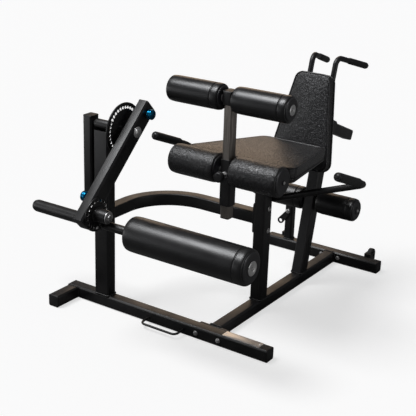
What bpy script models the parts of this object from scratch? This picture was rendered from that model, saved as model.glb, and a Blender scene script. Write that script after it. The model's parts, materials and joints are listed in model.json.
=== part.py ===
"""Leg extension machine, loaded with weight plates: the whole assembly, each piece a separate solid.

Metres, +Z up. The origin is the middle of the front crossbeam's underside, below the lever's pivot line.
The user sits facing -Y; +X is towards the end of the front crossbeam that is near the seat.
"""

import math

import bmesh
import bpy
from mathutils import Matrix, Vector

# Driving dimensions, in metres and degrees.
GAP = 0.0003
BEAM = 0.050
WALL = 0.003
CORNER = 0.006

FRONT_LEFT = -0.680
FRONT_RIGHT = 0.257
FOOT_LENGTH = 0.117
REAR_Y = 0.975
REAR_LEFT = -0.325
REAR_RIGHT = 0.227

UPRIGHT_X = -0.509
UPRIGHT_WIDTH = 0.070
PIVOT_Z = 0.744
SHAFT_RADIUS = 0.0100
BUSHING_RADIUS = 0.019

WEIGHT_ARM_X = -0.575
WEIGHT_ARM_WIDTH = 0.042
WEIGHT_ARM_DROP = 0.430
PEG_Z = 0.339
PEG_RADIUS = 0.025
PEG_END_X = -0.880

START_DISC_X = -0.416
START_DISC_RADIUS = 0.101
START_HOLE_CIRCLE = 0.083
START_HOLE_STEP = 10.0
PIN_HOLE_RADIUS = 0.0055
PIN_RADIUS = 0.0048
PLATE = 0.008
DISC = 0.004

ARM_X = -0.374
ARM_THICK = 0.044
ARM_WIDTH = 0.068
ARM_LEAN = 46.2
ARM_ABOVE = 0.116
ARM_BELOW = 0.402

HUB_ALONG = 0.345
HUB_BEHIND = 0.020
CRANK_DISC_RADIUS = 0.063
CRANK_HOLE_STEP = 20.0
CRANK_PIN_ALONG = 0.297
HUB_RADIUS = 0.026
HUB_LENGTH = 0.048
AXLE_BACK = 0.028
AXLE_DOWN = 0.046
AXLE_RADIUS = 0.017
ROLLER_LEFT = -0.212
ROLLER_RIGHT = 0.286
ROLLER_RADIUS = 0.065

SEAT_POST_Y = 0.340
SEAT_POST_DEPTH = 0.058
BACK_POST_Y = 0.671
BACK_POST_LEAN = 12.9
BACK_POST_DEPTH = 0.056
BACK_POST_TOP = 0.612

LINK_Z = 0.387
LINK_Y = 0.350
LINK_BEND = 0.220

SEAT_SLOPE = 5.4
SEAT_FRONT_Y = 0.135
SEAT_BACK_Y = 0.570
SEAT_FRONT_Z = 0.690
SEAT_THICK = 0.048
SEAT_HALF_FRONT = 0.238
SEAT_HALF_BACK = 0.142
BOARD = 0.012

THIGH_Y = 0.080
THIGH_SLEEVE = 0.046
THIGH_BAR = 0.038
THIGH_SLEEVE_BOTTOM = 0.520
THIGH_SLEEVE_TOP = 0.695
THIGH_BAR_BOTTOM = 0.473
THIGH_HEAD_BOTTOM = 0.895
THIGH_HEAD_TOP = 0.941
THIGH_AXLE_Y = 0.070
THIGH_AXLE_Z = 0.917
THIGH_PIN_Z = 0.640
PAD_ROLLER_RADIUS = 0.048
PAD_ROLLER_INNER = 0.027
PAD_ROLLER_OUTER = 0.247
PAD_AXLE_RADIUS = 0.0100

KNEE_Y = 0.070
KNEE_Z = 0.656
KNEE_ROLLER_OUTER = 0.229
KNEE_ROLLER_INNER = 0.031
KNEE_RADIUS = 0.056

BACK_LEAN = 15.5
BACK_FRONT_Y = 0.595
BACK_FRONT_Z = 0.600
BACK_THICK = 0.048
BACK_BELOW = 0.065
BACK_ABOVE = 0.320
BACK_HALF_TOP = 0.078
BACK_HALF_BOTTOM = 0.140
SLIDE_DROP = 22.0
SLIDE_Y = 0.811
SLIDE_Z = 0.665
SLIDE_SLEEVE = 0.058
SLIDE_BAR = 0.045
SLIDE_SLEEVE_LENGTH = 0.104
SLIDE_BEHIND = 0.240
SLIDE_AHEAD = 0.107

HANDLE_Y = 0.383
HANDLE_BOTTOM_Z = 0.464
HANDLE_BEND = (0.397, 0.383, 0.602)
HANDLE_END = (0.393, 0.163, 0.688)
HANDLE_RADIUS = 0.0125
GRIP_RADIUS = 0.0165
TOP_HANDLE_RADIUS = 0.011

REAR_AXLE_Y = 0.744
REAR_AXLE_Z = 0.352
REAR_ROLLER_INNER = 0.034
REAR_ROLLER_OUTER = 0.205

STORAGE_X = -0.225
STORAGE_WIDTH = 0.038
STORAGE_TOP = 0.265

WHEEL_RADIUS = 0.028
WHEEL_WIDTH = 0.020
WHEEL_Z = 0.048
WHEEL_Y = 1.038
WHEEL_X = (-0.262, 0.161)

PAINT = ((0.024, 0.024, 0.027), 0.42, 0.0)
BARE_STEEL = ((0.62, 0.61, 0.59), 0.32, 1.0)
ZINC = ((0.72, 0.72, 0.70), 0.30, 1.0)
BLUE = ((0.010, 0.150, 0.300), 0.28, 0.9)
FOAM = ((0.055, 0.055, 0.062), 0.55, 0.0)
LEATHER = ((0.040, 0.040, 0.043), 0.50, 0.0)
PLASTIC = ((0.030, 0.030, 0.032), 0.45, 0.0)
WOOD = ((0.150, 0.105, 0.070), 0.75, 0.0)

for old in list(bpy.data.objects):
    bpy.data.objects.remove(old)

machine = bpy.data.collections.new("leg_extension_machine")
cutters = bpy.data.collections.new("cutters")
bpy.context.scene.collection.children.link(machine)
bpy.context.scene.collection.children.link(cutters)


def finish(thing, look):
    """Gives the object a Principled material of its own."""
    colour, roughness, metallic = look
    material = bpy.data.materials.new(thing.name + "_finish")
    material.use_nodes = True
    shader = material.node_tree.nodes["Principled BSDF"]
    shader.inputs["Base Color"].default_value = (*colour, 1.0)
    shader.inputs["Roughness"].default_value = roughness
    shader.inputs["Metallic"].default_value = metallic
    thing.data.materials.clear()
    thing.data.materials.append(material)


def frame_along(start, end, up):
    """A frame at the middle of start and end, whose Z runs to the end and whose Y leans towards up."""
    start, end = Vector(start), Vector(end)
    along = (end - start).normalized()
    side = Vector(up).cross(along).normalized()
    lift = along.cross(side)
    turn = Matrix((side, lift, along)).transposed().to_4x4()
    return Matrix.Translation((start + end) / 2) @ turn, (end - start).length


def rounded_rectangle(width, height, radius, steps=3):
    """The outline of a rectangle about the origin whose corners are arcs."""
    points = []
    for quarter, (sx, sy) in enumerate(((1, 1), (-1, 1), (-1, -1), (1, -1))):
        middle = Vector((sx * (width / 2 - radius), sy * (height / 2 - radius)))
        for step in range(steps + 1):
            angle = math.radians(90 * (quarter + step / steps))
            points.append(middle + radius * Vector((math.cos(angle), math.sin(angle))))
    return points


def circle(centre, radius, sides):
    turns = [2 * math.pi * side / sides for side in range(sides)]
    return [Vector(centre) + radius * Vector((math.cos(t), math.sin(t))) for t in turns]


def as_mesh(curve_object):
    """Turns a curve object into a welded mesh object of the same name and place."""
    bpy.context.view_layer.update()
    graph = bpy.context.evaluated_depsgraph_get()
    mesh = bpy.data.meshes.new_from_object(curve_object.evaluated_get(graph))
    shape = bmesh.new()
    shape.from_mesh(mesh)
    bmesh.ops.remove_doubles(shape, verts=shape.verts, dist=0.000005)
    shape.to_mesh(mesh)
    shape.free()
    name, place = curve_object.name, curve_object.matrix_world.copy()
    bpy.data.objects.remove(curve_object)
    made = bpy.data.objects.new(name, mesh)
    made.matrix_world = place
    machine.objects.link(made)
    return made


def flat_solid(name, outlines, thickness, place, look):
    """A plate: the first outline is its edge, the others are its holes; its thickness lies along local Z."""
    curve = bpy.data.curves.new(name, "CURVE")
    curve.dimensions = "2D"
    curve.fill_mode = "BOTH"
    curve.extrude = thickness / 2
    for outline in outlines:
        spline = curve.splines.new("POLY")
        spline.points.add(len(outline) - 1)
        for point, corner in zip(spline.points, outline):
            point.co = (corner.x, corner.y, 0.0, 1.0)
        spline.use_cyclic_u = True
    drawn = bpy.data.objects.new(name, curve)
    drawn.matrix_world = place
    machine.objects.link(drawn)
    made = as_mesh(drawn)
    finish(made, look)
    return made


def box_tube(name, start, end, width, height, up, look=PAINT, wall=WALL):
    """A hollow box section with open ends, its height along up."""
    place, length = frame_along(start, end, up)
    outer = rounded_rectangle(width, height, CORNER, 1)
    inner = rounded_rectangle(width - 2 * wall, height - 2 * wall, CORNER - wall, 1)
    loops = [(outer, -0.5), (inner, -0.5), (inner, 0.5), (outer, 0.5)]
    corners = [(point.x, point.y, share * length) for loop, share in loops for point in loop]
    sides = len(outer)
    faces = []
    for ring_at in range(4):
        for side in range(sides):
            near, far = ring_at * sides, (ring_at + 1) % 4 * sides
            after = (side + 1) % sides
            faces.append((near + side, far + side, far + after, near + after))
    mesh = bpy.data.meshes.new(name)
    mesh.from_pydata(corners, [], faces)
    made = bpy.data.objects.new(name, mesh)
    made.matrix_world = place
    machine.objects.link(made)
    finish(made, look)
    return made


def mitre(tube, point, normal):
    """Slides the corners of the tube's nearer end along it, until that end lies in the given plane."""
    inward = tube.matrix_world.inverted()
    at = inward @ Vector(point)
    facing = inward.to_3x3() @ Vector(normal)
    for corner in tube.data.vertices:
        if (corner.co.z > 0) == (at.z > 0):
            offset = facing.x * (corner.co.x - at.x) + facing.y * (corner.co.y - at.y)
            corner.co.z = at.z - offset / facing.z


def turned(name, profile, start, end, look, sides=24):
    """Turns a profile of (radius, height) points, top to bottom, about the line from start to end.

    Heights run from 0 at start to the line's length at end. A profile that leaves the axis is closed
    on itself, which gives a ring.
    """
    place, length = frame_along(start, end, (0.0, 0.0, 1.0) if start[2] == end[2] else (0.0, 1.0, 0.0))
    mesh = bpy.data.meshes.new(name)
    corners = [(radius, 0.0, height - length / 2) for radius, height in profile]
    edges = [(at, at + 1) for at in range(len(corners) - 1)]
    if profile[0][0] > 0.0:
        edges.append((len(corners) - 1, 0))
    mesh.from_pydata(corners, edges, [])
    made = bpy.data.objects.new(name, mesh)
    made.matrix_world = place
    machine.objects.link(made)
    screw = made.modifiers.new("turn", "SCREW")
    screw.axis = "Z"
    screw.steps = sides
    screw.render_steps = sides
    screw.use_merge_vertices = True
    screw.merge_threshold = 0.00001
    screw.use_smooth_shade = True
    finish(made, look)
    return made


def ring(name, start, end, outer, inner, look, rounding=0.004, sides=16):
    """A sleeve about the line from start to end, with softened outer edges."""
    length = (Vector(end) - Vector(start)).length
    profile = [
        (outer - rounding, length),
        (outer, length - rounding),
        (outer, rounding),
        (outer - rounding, 0.0),
        (inner, 0.0),
        (inner, length),
    ]
    return turned(name, profile, start, end, look, sides)


def rod(name, start, end, radius, look, sides=16):
    length = (Vector(end) - Vector(start)).length
    return turned(name, [(0.0, length), (radius, length), (radius, 0.0), (0.0, 0.0)], start, end, look, sides)


def cut_round(thing, start, end, radius, sides=12):
    """Cuts a round hole along the line from start to end."""
    place, length = frame_along(start, end, (0.0, 0.0, 1.0) if start[2] == end[2] else (0.0, 1.0, 0.0))
    mesh = bpy.data.meshes.new(thing.name + "_hole")
    shape = bmesh.new()
    bmesh.ops.create_cone(
        shape, cap_ends=True, segments=sides, radius1=radius, radius2=radius, depth=length
    )
    shape.to_mesh(mesh)
    shape.free()
    cutter = bpy.data.objects.new(thing.name + "_hole", mesh)
    cutter.matrix_world = place
    cutter.hide_render = True
    cutter.display_type = "WIRE"
    cutters.objects.link(cutter)
    hole = thing.modifiers.new("hole", "BOOLEAN")
    hole.object = cutter
    hole.operation = "DIFFERENCE"
    hole.solver = "EXACT"


def rounded_path(corners, radius, steps=6):
    """The points of a path whose inner corners are arcs of the given radius."""
    corners = [Vector(corner) for corner in corners]
    path = [corners[0]]
    for before, at, after in zip(corners, corners[1:], corners[2:]):
        to_start = (before - at).normalized()
        to_end = (after - at).normalized()
        half = to_start.angle(to_end) / 2
        reach = radius / math.tan(half)
        centre = at + (to_start + to_end).normalized() * radius / math.sin(half)
        first = at + to_start * reach - centre
        last = at + to_end * reach - centre
        opening = first.angle(last)
        for step in range(steps + 1):
            share = step / steps
            weight_first = math.sin((1 - share) * opening) / math.sin(opening)
            weight_last = math.sin(share * opening) / math.sin(opening)
            path.append(centre + first * weight_first + last * weight_last)
    path.append(corners[-1])
    return path


def path_curve(name, path):
    curve = bpy.data.curves.new(name, "CURVE")
    curve.dimensions = "3D"
    spline = curve.splines.new("POLY")
    spline.points.add(len(path) - 1)
    for point, corner in zip(spline.points, path):
        point.co = (*corner, 1.0)
    return curve


def bent_pipe(name, path, radius, look, wall=0.002, resolution=2):
    """A round tube along a path; with a wall it is hollow and open at both ends."""
    curve = path_curve(name, path)
    curve.bevel_depth = radius
    curve.bevel_resolution = resolution
    curve.use_fill_caps = wall == 0.0
    drawn = bpy.data.objects.new(name, curve)
    machine.objects.link(drawn)
    made = as_mesh(drawn)
    if wall > 0.0:
        shell = made.modifiers.new("wall", "SOLIDIFY")
        shell.thickness = wall
        shell.offset = -1.0
        shell.use_even_offset = True
    finish(made, look)
    return made


def across(y, z, left, right):
    """The two ends of a line along X."""
    return (left, y, z), (right, y, z)


def base_frame():
    half = BEAM / 2
    front = box_tube("front_crossbeam", (FRONT_LEFT, 0, half), (FRONT_RIGHT, 0, half), BEAM, BEAM, (0, 0, 1))
    foot_x = FRONT_LEFT + half
    foot_ends = (foot_x, -half - FOOT_LENGTH, half), (foot_x, -half - GAP, half)
    box_tube("left_front_foot", *foot_ends, BEAM, BEAM, (0, 0, 1))
    flange_back = half + GAP + PLATE
    spine_ends = (0, flange_back + GAP, half), (0, REAR_Y - half - GAP, half)
    box_tube("spine_beam", *spine_ends, BEAM, BEAM, (0, 0, 1))
    box_tube("rear_crossbeam", (REAR_LEFT, REAR_Y, half), (REAR_RIGHT, REAR_Y, half), BEAM, BEAM, (0, 0, 1))
    bolt_x, bolt_radius = 0.050, 0.005
    stand_up = Matrix.Rotation(math.radians(90), 4, "X")
    plate_place = Matrix.Translation((0, half + GAP + PLATE / 2, half)) @ stand_up
    outline = rounded_rectangle(0.135, BEAM - 0.004, 0.006)
    holes = [circle((side * bolt_x, 0), bolt_radius + GAP, 12) for side in (-1, 1)]
    flat_solid("spine_flange", [outline, *holes], PLATE, plate_place, PAINT)
    for side, word in ((-1, "left"), (1, "right")):
        x = side * bolt_x
        cut_round(front, (x, -0.040, half), (x, 0.040, half), bolt_radius + GAP)
        head, length = 0.0075, 0.0725
        profile = [
            (0.0, length),
            (bolt_radius * 0.5, length),
            (0.0085, length - 0.003),
            (0.0085, length - head),
            (bolt_radius, length - head),
            (bolt_radius, 0.0),
            (0.0, 0.0),
        ]
        top = -half - GAP - head
        turned("flange_bolt_" + word, profile, (x, top + length, half), (x, top, half), ZINC, 12)


def lever_post():
    half = BEAM / 2
    top = PIVOT_Z - BUSHING_RADIUS - GAP
    box_tube("lever_upright", (UPRIGHT_X, 0, BEAM + GAP), (UPRIGHT_X, 0, top), UPRIGHT_WIDTH, BEAM, (0, 1, 0))
    ends = across(0, PIVOT_Z, UPRIGHT_X - UPRIGHT_WIDTH / 2, UPRIGHT_X + UPRIGHT_WIDTH / 2)
    ring("pivot_bushing", *ends, BUSHING_RADIUS, SHAFT_RADIUS + GAP, PAINT, 0.001, 20)
    link_end = -half - PLATE - 2 * GAP
    corners = [(UPRIGHT_X, half + GAP, LINK_Z), (UPRIGHT_X, LINK_Y, LINK_Z), (link_end, LINK_Y, LINK_Z)]
    path = rounded_path(corners, LINK_BEND, 8)
    section = bpy.data.curves.new("link_section", "CURVE")
    section.dimensions = "2D"
    outline = section.splines.new("POLY")
    corners = rounded_rectangle(BEAM, BEAM, CORNER, 1)
    outline.points.add(len(corners) - 1)
    for point, corner in zip(outline.points, corners):
        point.co = (corner.x, corner.y, 0.0, 1.0)
    outline.use_cyclic_u = True
    section_object = bpy.data.objects.new("link_section", section)
    section_object.hide_render = True
    section_object.display_type = "WIRE"
    cutters.objects.link(section_object)
    curve = path_curve("link_tube", path)
    curve.twist_mode = "Z_UP"
    curve.bevel_mode = "OBJECT"
    curve.bevel_object = section_object
    drawn = bpy.data.objects.new("link_tube", curve)
    machine.objects.link(drawn)
    link = as_mesh(drawn)
    shell = link.modifiers.new("wall", "SOLIDIFY")
    shell.thickness = WALL
    shell.offset = -1.0
    finish(link, PAINT)
    plate_place = Matrix.Translation((-half - GAP - PLATE / 2, LINK_Y - 0.004, LINK_Z)) @ Matrix.Rotation(
        math.radians(90), 4, "Y"
    )
    flat_solid("link_plate", [rounded_rectangle(0.124, 0.052, 0.010)], PLATE, plate_place, PAINT)


def seat_line(y, below):
    """The height of a line parallel to the sloping seat top, that far below it, at y."""
    slope = math.tan(math.radians(SEAT_SLOPE))
    return SEAT_FRONT_Z - slope * (y - SEAT_FRONT_Y) - below / math.cos(math.radians(SEAT_SLOPE))


def posts():
    rail_below = SEAT_THICK + BOARD + 2 * GAP
    half = BEAM / 2
    post_top = seat_line(SEAT_POST_Y + SEAT_POST_DEPTH / 2, rail_below + BEAM) - GAP
    post_ends = (0, SEAT_POST_Y, BEAM + GAP), (0, SEAT_POST_Y, post_top)
    seat_tube = box_tube("seat_post", *post_ends, BEAM, SEAT_POST_DEPTH, (0, 1, 0))
    slope = math.radians(SEAT_SLOPE)
    under_rail = (0, SEAT_POST_Y, seat_line(SEAT_POST_Y, rail_below + BEAM + GAP))
    mitre(seat_tube, under_rail, (0, math.sin(slope), math.cos(slope)))
    lean = math.radians(BACK_POST_LEAN)
    along = Vector((0, math.sin(lean), math.cos(lean)))
    foot = Vector((0, BACK_POST_Y, BEAM + GAP)) + along * (BACK_POST_DEPTH / 2 * math.tan(lean))
    tip = foot + along * (BACK_POST_TOP - foot.z) / math.cos(lean)
    post = box_tube("back_post", foot, tip, BEAM, BACK_POST_DEPTH, (0, 1, 0))
    drop = math.radians(SLIDE_DROP)
    under_sleeve = (0, SLIDE_Y, SLIDE_Z - (SLIDE_SLEEVE / 2 + GAP) / math.cos(drop))
    mitre(post, under_sleeve, (0, math.sin(drop), math.cos(drop)))
    mitre(post, foot * Vector((1, 1, 0)) + Vector((0, 0, BEAM + GAP)), (0, 0, 1))
    cut_round(post, *across(REAR_AXLE_Y, REAR_AXLE_Z, -0.040, 0.040), PAD_AXLE_RADIUS + GAP, 16)
    rail_front = THIGH_Y + THIGH_SLEEVE / 2 + GAP + half * math.tan(math.radians(SEAT_SLOPE))
    rail_back = 0.545
    start = (0, rail_front, seat_line(rail_front, rail_below + half))
    end = (0, rail_back, seat_line(rail_back, rail_below + half))
    box_tube("seat_rail", start, end, BEAM, BEAM, (0, 0, 1))
    storage_ends = (STORAGE_X, REAR_Y, BEAM + GAP), (STORAGE_X, REAR_Y, STORAGE_TOP)
    storage = box_tube("storage_post", *storage_ends, STORAGE_WIDTH, STORAGE_WIDTH, (0, 1, 0))
    hook_bolt = (0.188, 0.005)
    cut_round(
        storage,
        (STORAGE_X, REAR_Y - 0.030, hook_bolt[0]),
        (STORAGE_X, REAR_Y, hook_bolt[0]),
        hook_bolt[1],
    )
    outline = []
    for step in range(13):
        angle = math.radians(150 + 180 * step / 12)
        outline.append(Vector((-0.036, -0.052)) + 0.015 * Vector((math.cos(angle), math.sin(angle))))
    for step in range(9):
        angle = math.radians(-30 + 160 * step / 8)
        outline.append(Vector((0.004, 0.0)) + 0.011 * Vector((math.cos(angle), math.sin(angle))))
    place = Matrix.Translation(
        (STORAGE_X, REAR_Y - STORAGE_WIDTH / 2 - GAP - 0.003, hook_bolt[0])
    ) @ Matrix.Rotation(math.radians(90), 4, "X")
    flat_solid("storage_hook", [outline, circle((-0.036, -0.052), 0.008, 16)], 0.006, place, PAINT)


def side_handles():
    bend, tip = Vector(HANDLE_BEND), Vector(HANDLE_END)
    bottom_half = 0.022
    right = [tip, bend, Vector((bottom_half, HANDLE_Y, HANDLE_BOTTOM_Z))]
    left = [Vector((-corner.x, corner.y, corner.z)) for corner in reversed(right)]
    bent_pipe("side_handle_tube", rounded_path(right + left, 0.030, 3), HANDLE_RADIUS, PAINT)
    along = (bend - tip).normalized()
    for side, word in ((-1, "left"), (1, "right")):
        mirror = Vector((side, 1, 1))
        start = (tip - along * 0.004) * mirror
        end = (tip + along * 0.185) * mirror
        length = (end - start).length
        bore = HANDLE_RADIUS + GAP
        profile = [
            (GRIP_RADIUS, length),
            (GRIP_RADIUS, 0.005),
            (GRIP_RADIUS - 0.005, 0.0),
            (0.0, 0.0),
            (0.0, 0.004 - GAP),
            (bore, 0.004 - GAP),
            (bore, length),
        ]
        grip_place(word, profile, start, end)


def grip_place(word, profile, start, end):
    """A grip is a blind sleeve: its profile starts and ends on the axis only at the closed end."""
    length = (end - start).length
    place, _ = frame_along(start, end, (0, 1, 0))
    mesh = bpy.data.meshes.new("handle_grip_" + word)
    corners = [(radius, 0.0, height - length / 2) for radius, height in profile]
    edges = [(at, at + 1) for at in range(len(corners) - 1) if at != 3]
    edges.append((len(corners) - 1, 0))
    mesh.from_pydata(corners, edges, [])
    made = bpy.data.objects.new("handle_grip_" + word, mesh)
    made.matrix_world = place
    machine.objects.link(made)
    screw = made.modifiers.new("turn", "SCREW")
    screw.steps = 16
    screw.render_steps = 16
    screw.use_merge_vertices = True
    screw.merge_threshold = 0.00001
    finish(made, FOAM)


def small_fittings():
    half = BEAM / 2
    face = -half - GAP
    corners = [
        (-0.271, face, 0.022),
        (-0.271, face - 0.052, 0.020),
        (-0.107, face - 0.052, 0.020),
        (-0.107, face, 0.022),
    ]
    bent_pipe("lift_handle", rounded_path(corners, 0.020, 4), 0.0045, PAINT, 0.0)
    for x, word in zip(WHEEL_X, ("left", "right")):
        transport_wheel(word, x, REAR_Y + half + GAP)


def transport_wheel(word, x, back):
    """A wheel that turns on its own axle stubs, in a fork of bent flat bar behind the rear crossbeam."""
    ear, stub = 0.004, 0.005
    inside = WHEEL_WIDTH / 2 + 0.001
    outside = inside + ear
    depth = WHEEL_Y + 0.012 - back
    fork = [
        (-outside, 0.0),
        (outside, 0.0),
        (outside, depth),
        (inside, depth),
        (inside, ear),
        (-inside, ear),
        (-inside, depth),
        (-outside, depth),
    ]
    place = Matrix.Translation((x, back, WHEEL_Z - 0.004))
    bracket = flat_solid("wheel_bracket_" + word, [[Vector(corner) for corner in fork]], 0.034, place, PAINT)
    cut_round(bracket, *across(WHEEL_Y, WHEEL_Z, x - 0.030, x + 0.030), stub + GAP)
    reach = outside + 0.003
    low, high = reach - WHEEL_WIDTH / 2, reach + WHEEL_WIDTH / 2
    profile = [
        (0.0, 2 * reach),
        (stub, 2 * reach),
        (stub, high),
        (WHEEL_RADIUS - 0.003, high),
        (WHEEL_RADIUS, high - 0.003),
        (WHEEL_RADIUS, low + 0.003),
        (WHEEL_RADIUS - 0.003, low),
        (stub, low),
        (stub, 0.0),
        (0.0, 0.0),
    ]
    ends = across(WHEEL_Y, WHEEL_Z, x - reach, x + reach)
    turned("transport_wheel_" + word, profile, *ends, PLASTIC, 18)


def tapered_outline(half_start, half_end, start, end, radius, steps=4):
    """A four-sided outline with arcs at its corners, wide at start and narrow at end along local Y."""
    corners = [
        Vector((half_start, start, 0)),
        Vector((half_end, end, 0)),
        Vector((-half_end, end, 0)),
        Vector((-half_start, start, 0)),
    ]
    middle = (corners[3] + corners[0]) / 2
    path = rounded_path([middle, *corners, middle], radius, steps)
    return [Vector((point.x, point.y)) for point in path[:-1]]


def seat():
    slope = math.radians(SEAT_SLOPE)
    length = (SEAT_BACK_Y - SEAT_FRONT_Y) / math.cos(slope)
    tilt = Matrix.Rotation(-slope, 4, "X")
    at_front = Matrix.Translation((0, SEAT_FRONT_Y, SEAT_FRONT_Z)) @ tilt
    outline = tapered_outline(SEAT_HALF_FRONT, SEAT_HALF_BACK, 0.0, length, 0.035)
    cushion_place = at_front @ Matrix.Translation((0, 0, -SEAT_THICK / 2))
    cushion = flat_solid("seat_cushion", [outline], SEAT_THICK, cushion_place, LEATHER)
    soften(cushion, 0.012)
    inset = 0.012
    front, back = SEAT_HALF_FRONT - inset, SEAT_HALF_BACK - inset
    board_outline = tapered_outline(front, back, inset, length - inset, 0.030)
    board_place = at_front @ Matrix.Translation((0, 0, -SEAT_THICK - GAP - BOARD / 2))
    flat_solid("seat_board", [board_outline], BOARD, board_place, WOOD)


def soften(thing, width):
    bevel = thing.modifiers.new("soft_edge", "BEVEL")
    bevel.width = width
    bevel.segments = 2
    bevel.limit_method = "ANGLE"
    bevel.angle_limit = math.radians(50)


def pad_roller(name, y, z, inner, outer, radius, bore):
    """A foam roller on an axle along X."""
    return ring(name, *across(y, z, inner, outer), radius, bore, FOAM, 0.008, 20)


def pull_pin(name, tip, direction, plunger_length, look):
    """A spring plunger: a thin rod with a round knob at its outer end, turned about its own line."""
    direction = Vector(direction)
    knob_length, knob_radius = 0.024, 0.0195
    length = plunger_length + knob_length
    profile = [
        (0.0, length),
        (knob_radius - 0.004, length),
        (knob_radius, length - 0.004),
        (knob_radius, length - knob_length + 0.004),
        (knob_radius - 0.006, length - knob_length),
        (PIN_RADIUS, length - knob_length),
        (PIN_RADIUS, 0.0),
        (0.0, 0.0),
    ]
    start = Vector(tip)
    return turned(name, profile, tuple(start), tuple(start + direction * length), look, 16)


def thigh_pad():
    half = THIGH_SLEEVE / 2
    sleeve = box_tube(
        "thigh_sleeve",
        (0, THIGH_Y, THIGH_SLEEVE_BOTTOM),
        (0, THIGH_Y, THIGH_SLEEVE_TOP),
        THIGH_SLEEVE,
        THIGH_SLEEVE,
        (0, 1, 0),
    )
    cut_round(sleeve, (0, THIGH_Y - 0.040, THIGH_PIN_Z), (0, THIGH_Y, THIGH_PIN_Z), PIN_HOLE_RADIUS)
    bar_top = THIGH_HEAD_BOTTOM - GAP
    bar = box_tube(
        "thigh_post", (0, THIGH_Y, THIGH_BAR_BOTTOM), (0, THIGH_Y, bar_top), THIGH_BAR, THIGH_BAR, (0, 1, 0),
        BARE_STEEL, 0.0025,
    )
    for step in range(-4, 3):
        z = THIGH_PIN_Z + 0.025 * step
        cut_round(bar, (0, THIGH_Y - 0.040, z), (0, THIGH_Y, z), PIN_HOLE_RADIUS, 8)
    head_ends = (0, THIGH_Y - 0.004, THIGH_HEAD_BOTTOM), (0, THIGH_Y - 0.004, THIGH_HEAD_TOP)
    head = box_tube("thigh_head", *head_ends, 0.042, 0.050, (0, 1, 0))
    axle = across(THIGH_AXLE_Y, THIGH_AXLE_Z, -PAD_ROLLER_OUTER - 0.004, PAD_ROLLER_OUTER + 0.004)
    cut_round(head, *axle, PAD_AXLE_RADIUS + GAP, 16)
    rod("thigh_axle", *axle, PAD_AXLE_RADIUS, ZINC)
    barrel_start = THIGH_Y - half - GAP
    barrel_end = barrel_start - 0.022
    ring(
        "thigh_pin_barrel", (0, barrel_start, THIGH_PIN_Z), (0, barrel_end, THIGH_PIN_Z), 0.011,
        PIN_HOLE_RADIUS, ZINC, 0.001, 16,
    )
    tip_y = THIGH_Y - THIGH_BAR / 2 - 0.0006
    pull_pin("thigh_pin", (0, tip_y, THIGH_PIN_Z), (0, -1, 0), tip_y - barrel_end + 0.002, PLASTIC)
    bore = PAD_AXLE_RADIUS + GAP
    for side, word in ((-1, "left"), (1, "right")):
        span = sorted((side * PAD_ROLLER_INNER, side * PAD_ROLLER_OUTER))
        pad_roller("thigh_roller_" + word, THIGH_AXLE_Y, THIGH_AXLE_Z, *span, PAD_ROLLER_RADIUS, bore)
        knee = sorted((side * KNEE_ROLLER_INNER, side * KNEE_ROLLER_OUTER))
        pad_roller("knee_roller_" + word, KNEE_Y, KNEE_Z, *knee, KNEE_RADIUS, bore)
        stub = sorted((side * (half + GAP), side * (KNEE_ROLLER_OUTER + 0.004)))
        rod("knee_axle_" + word, *across(KNEE_Y, KNEE_Z, *stub), PAD_AXLE_RADIUS, ZINC)
        rear = sorted((side * REAR_ROLLER_INNER, side * REAR_ROLLER_OUTER))
        pad_roller("rear_roller_" + word, REAR_AXLE_Y, REAR_AXLE_Z, *rear, PAD_ROLLER_RADIUS, bore)
    reach = REAR_ROLLER_OUTER + 0.004
    rod("rear_axle", *across(REAR_AXLE_Y, REAR_AXLE_Z, -reach, reach), PAD_AXLE_RADIUS, ZINC)


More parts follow.
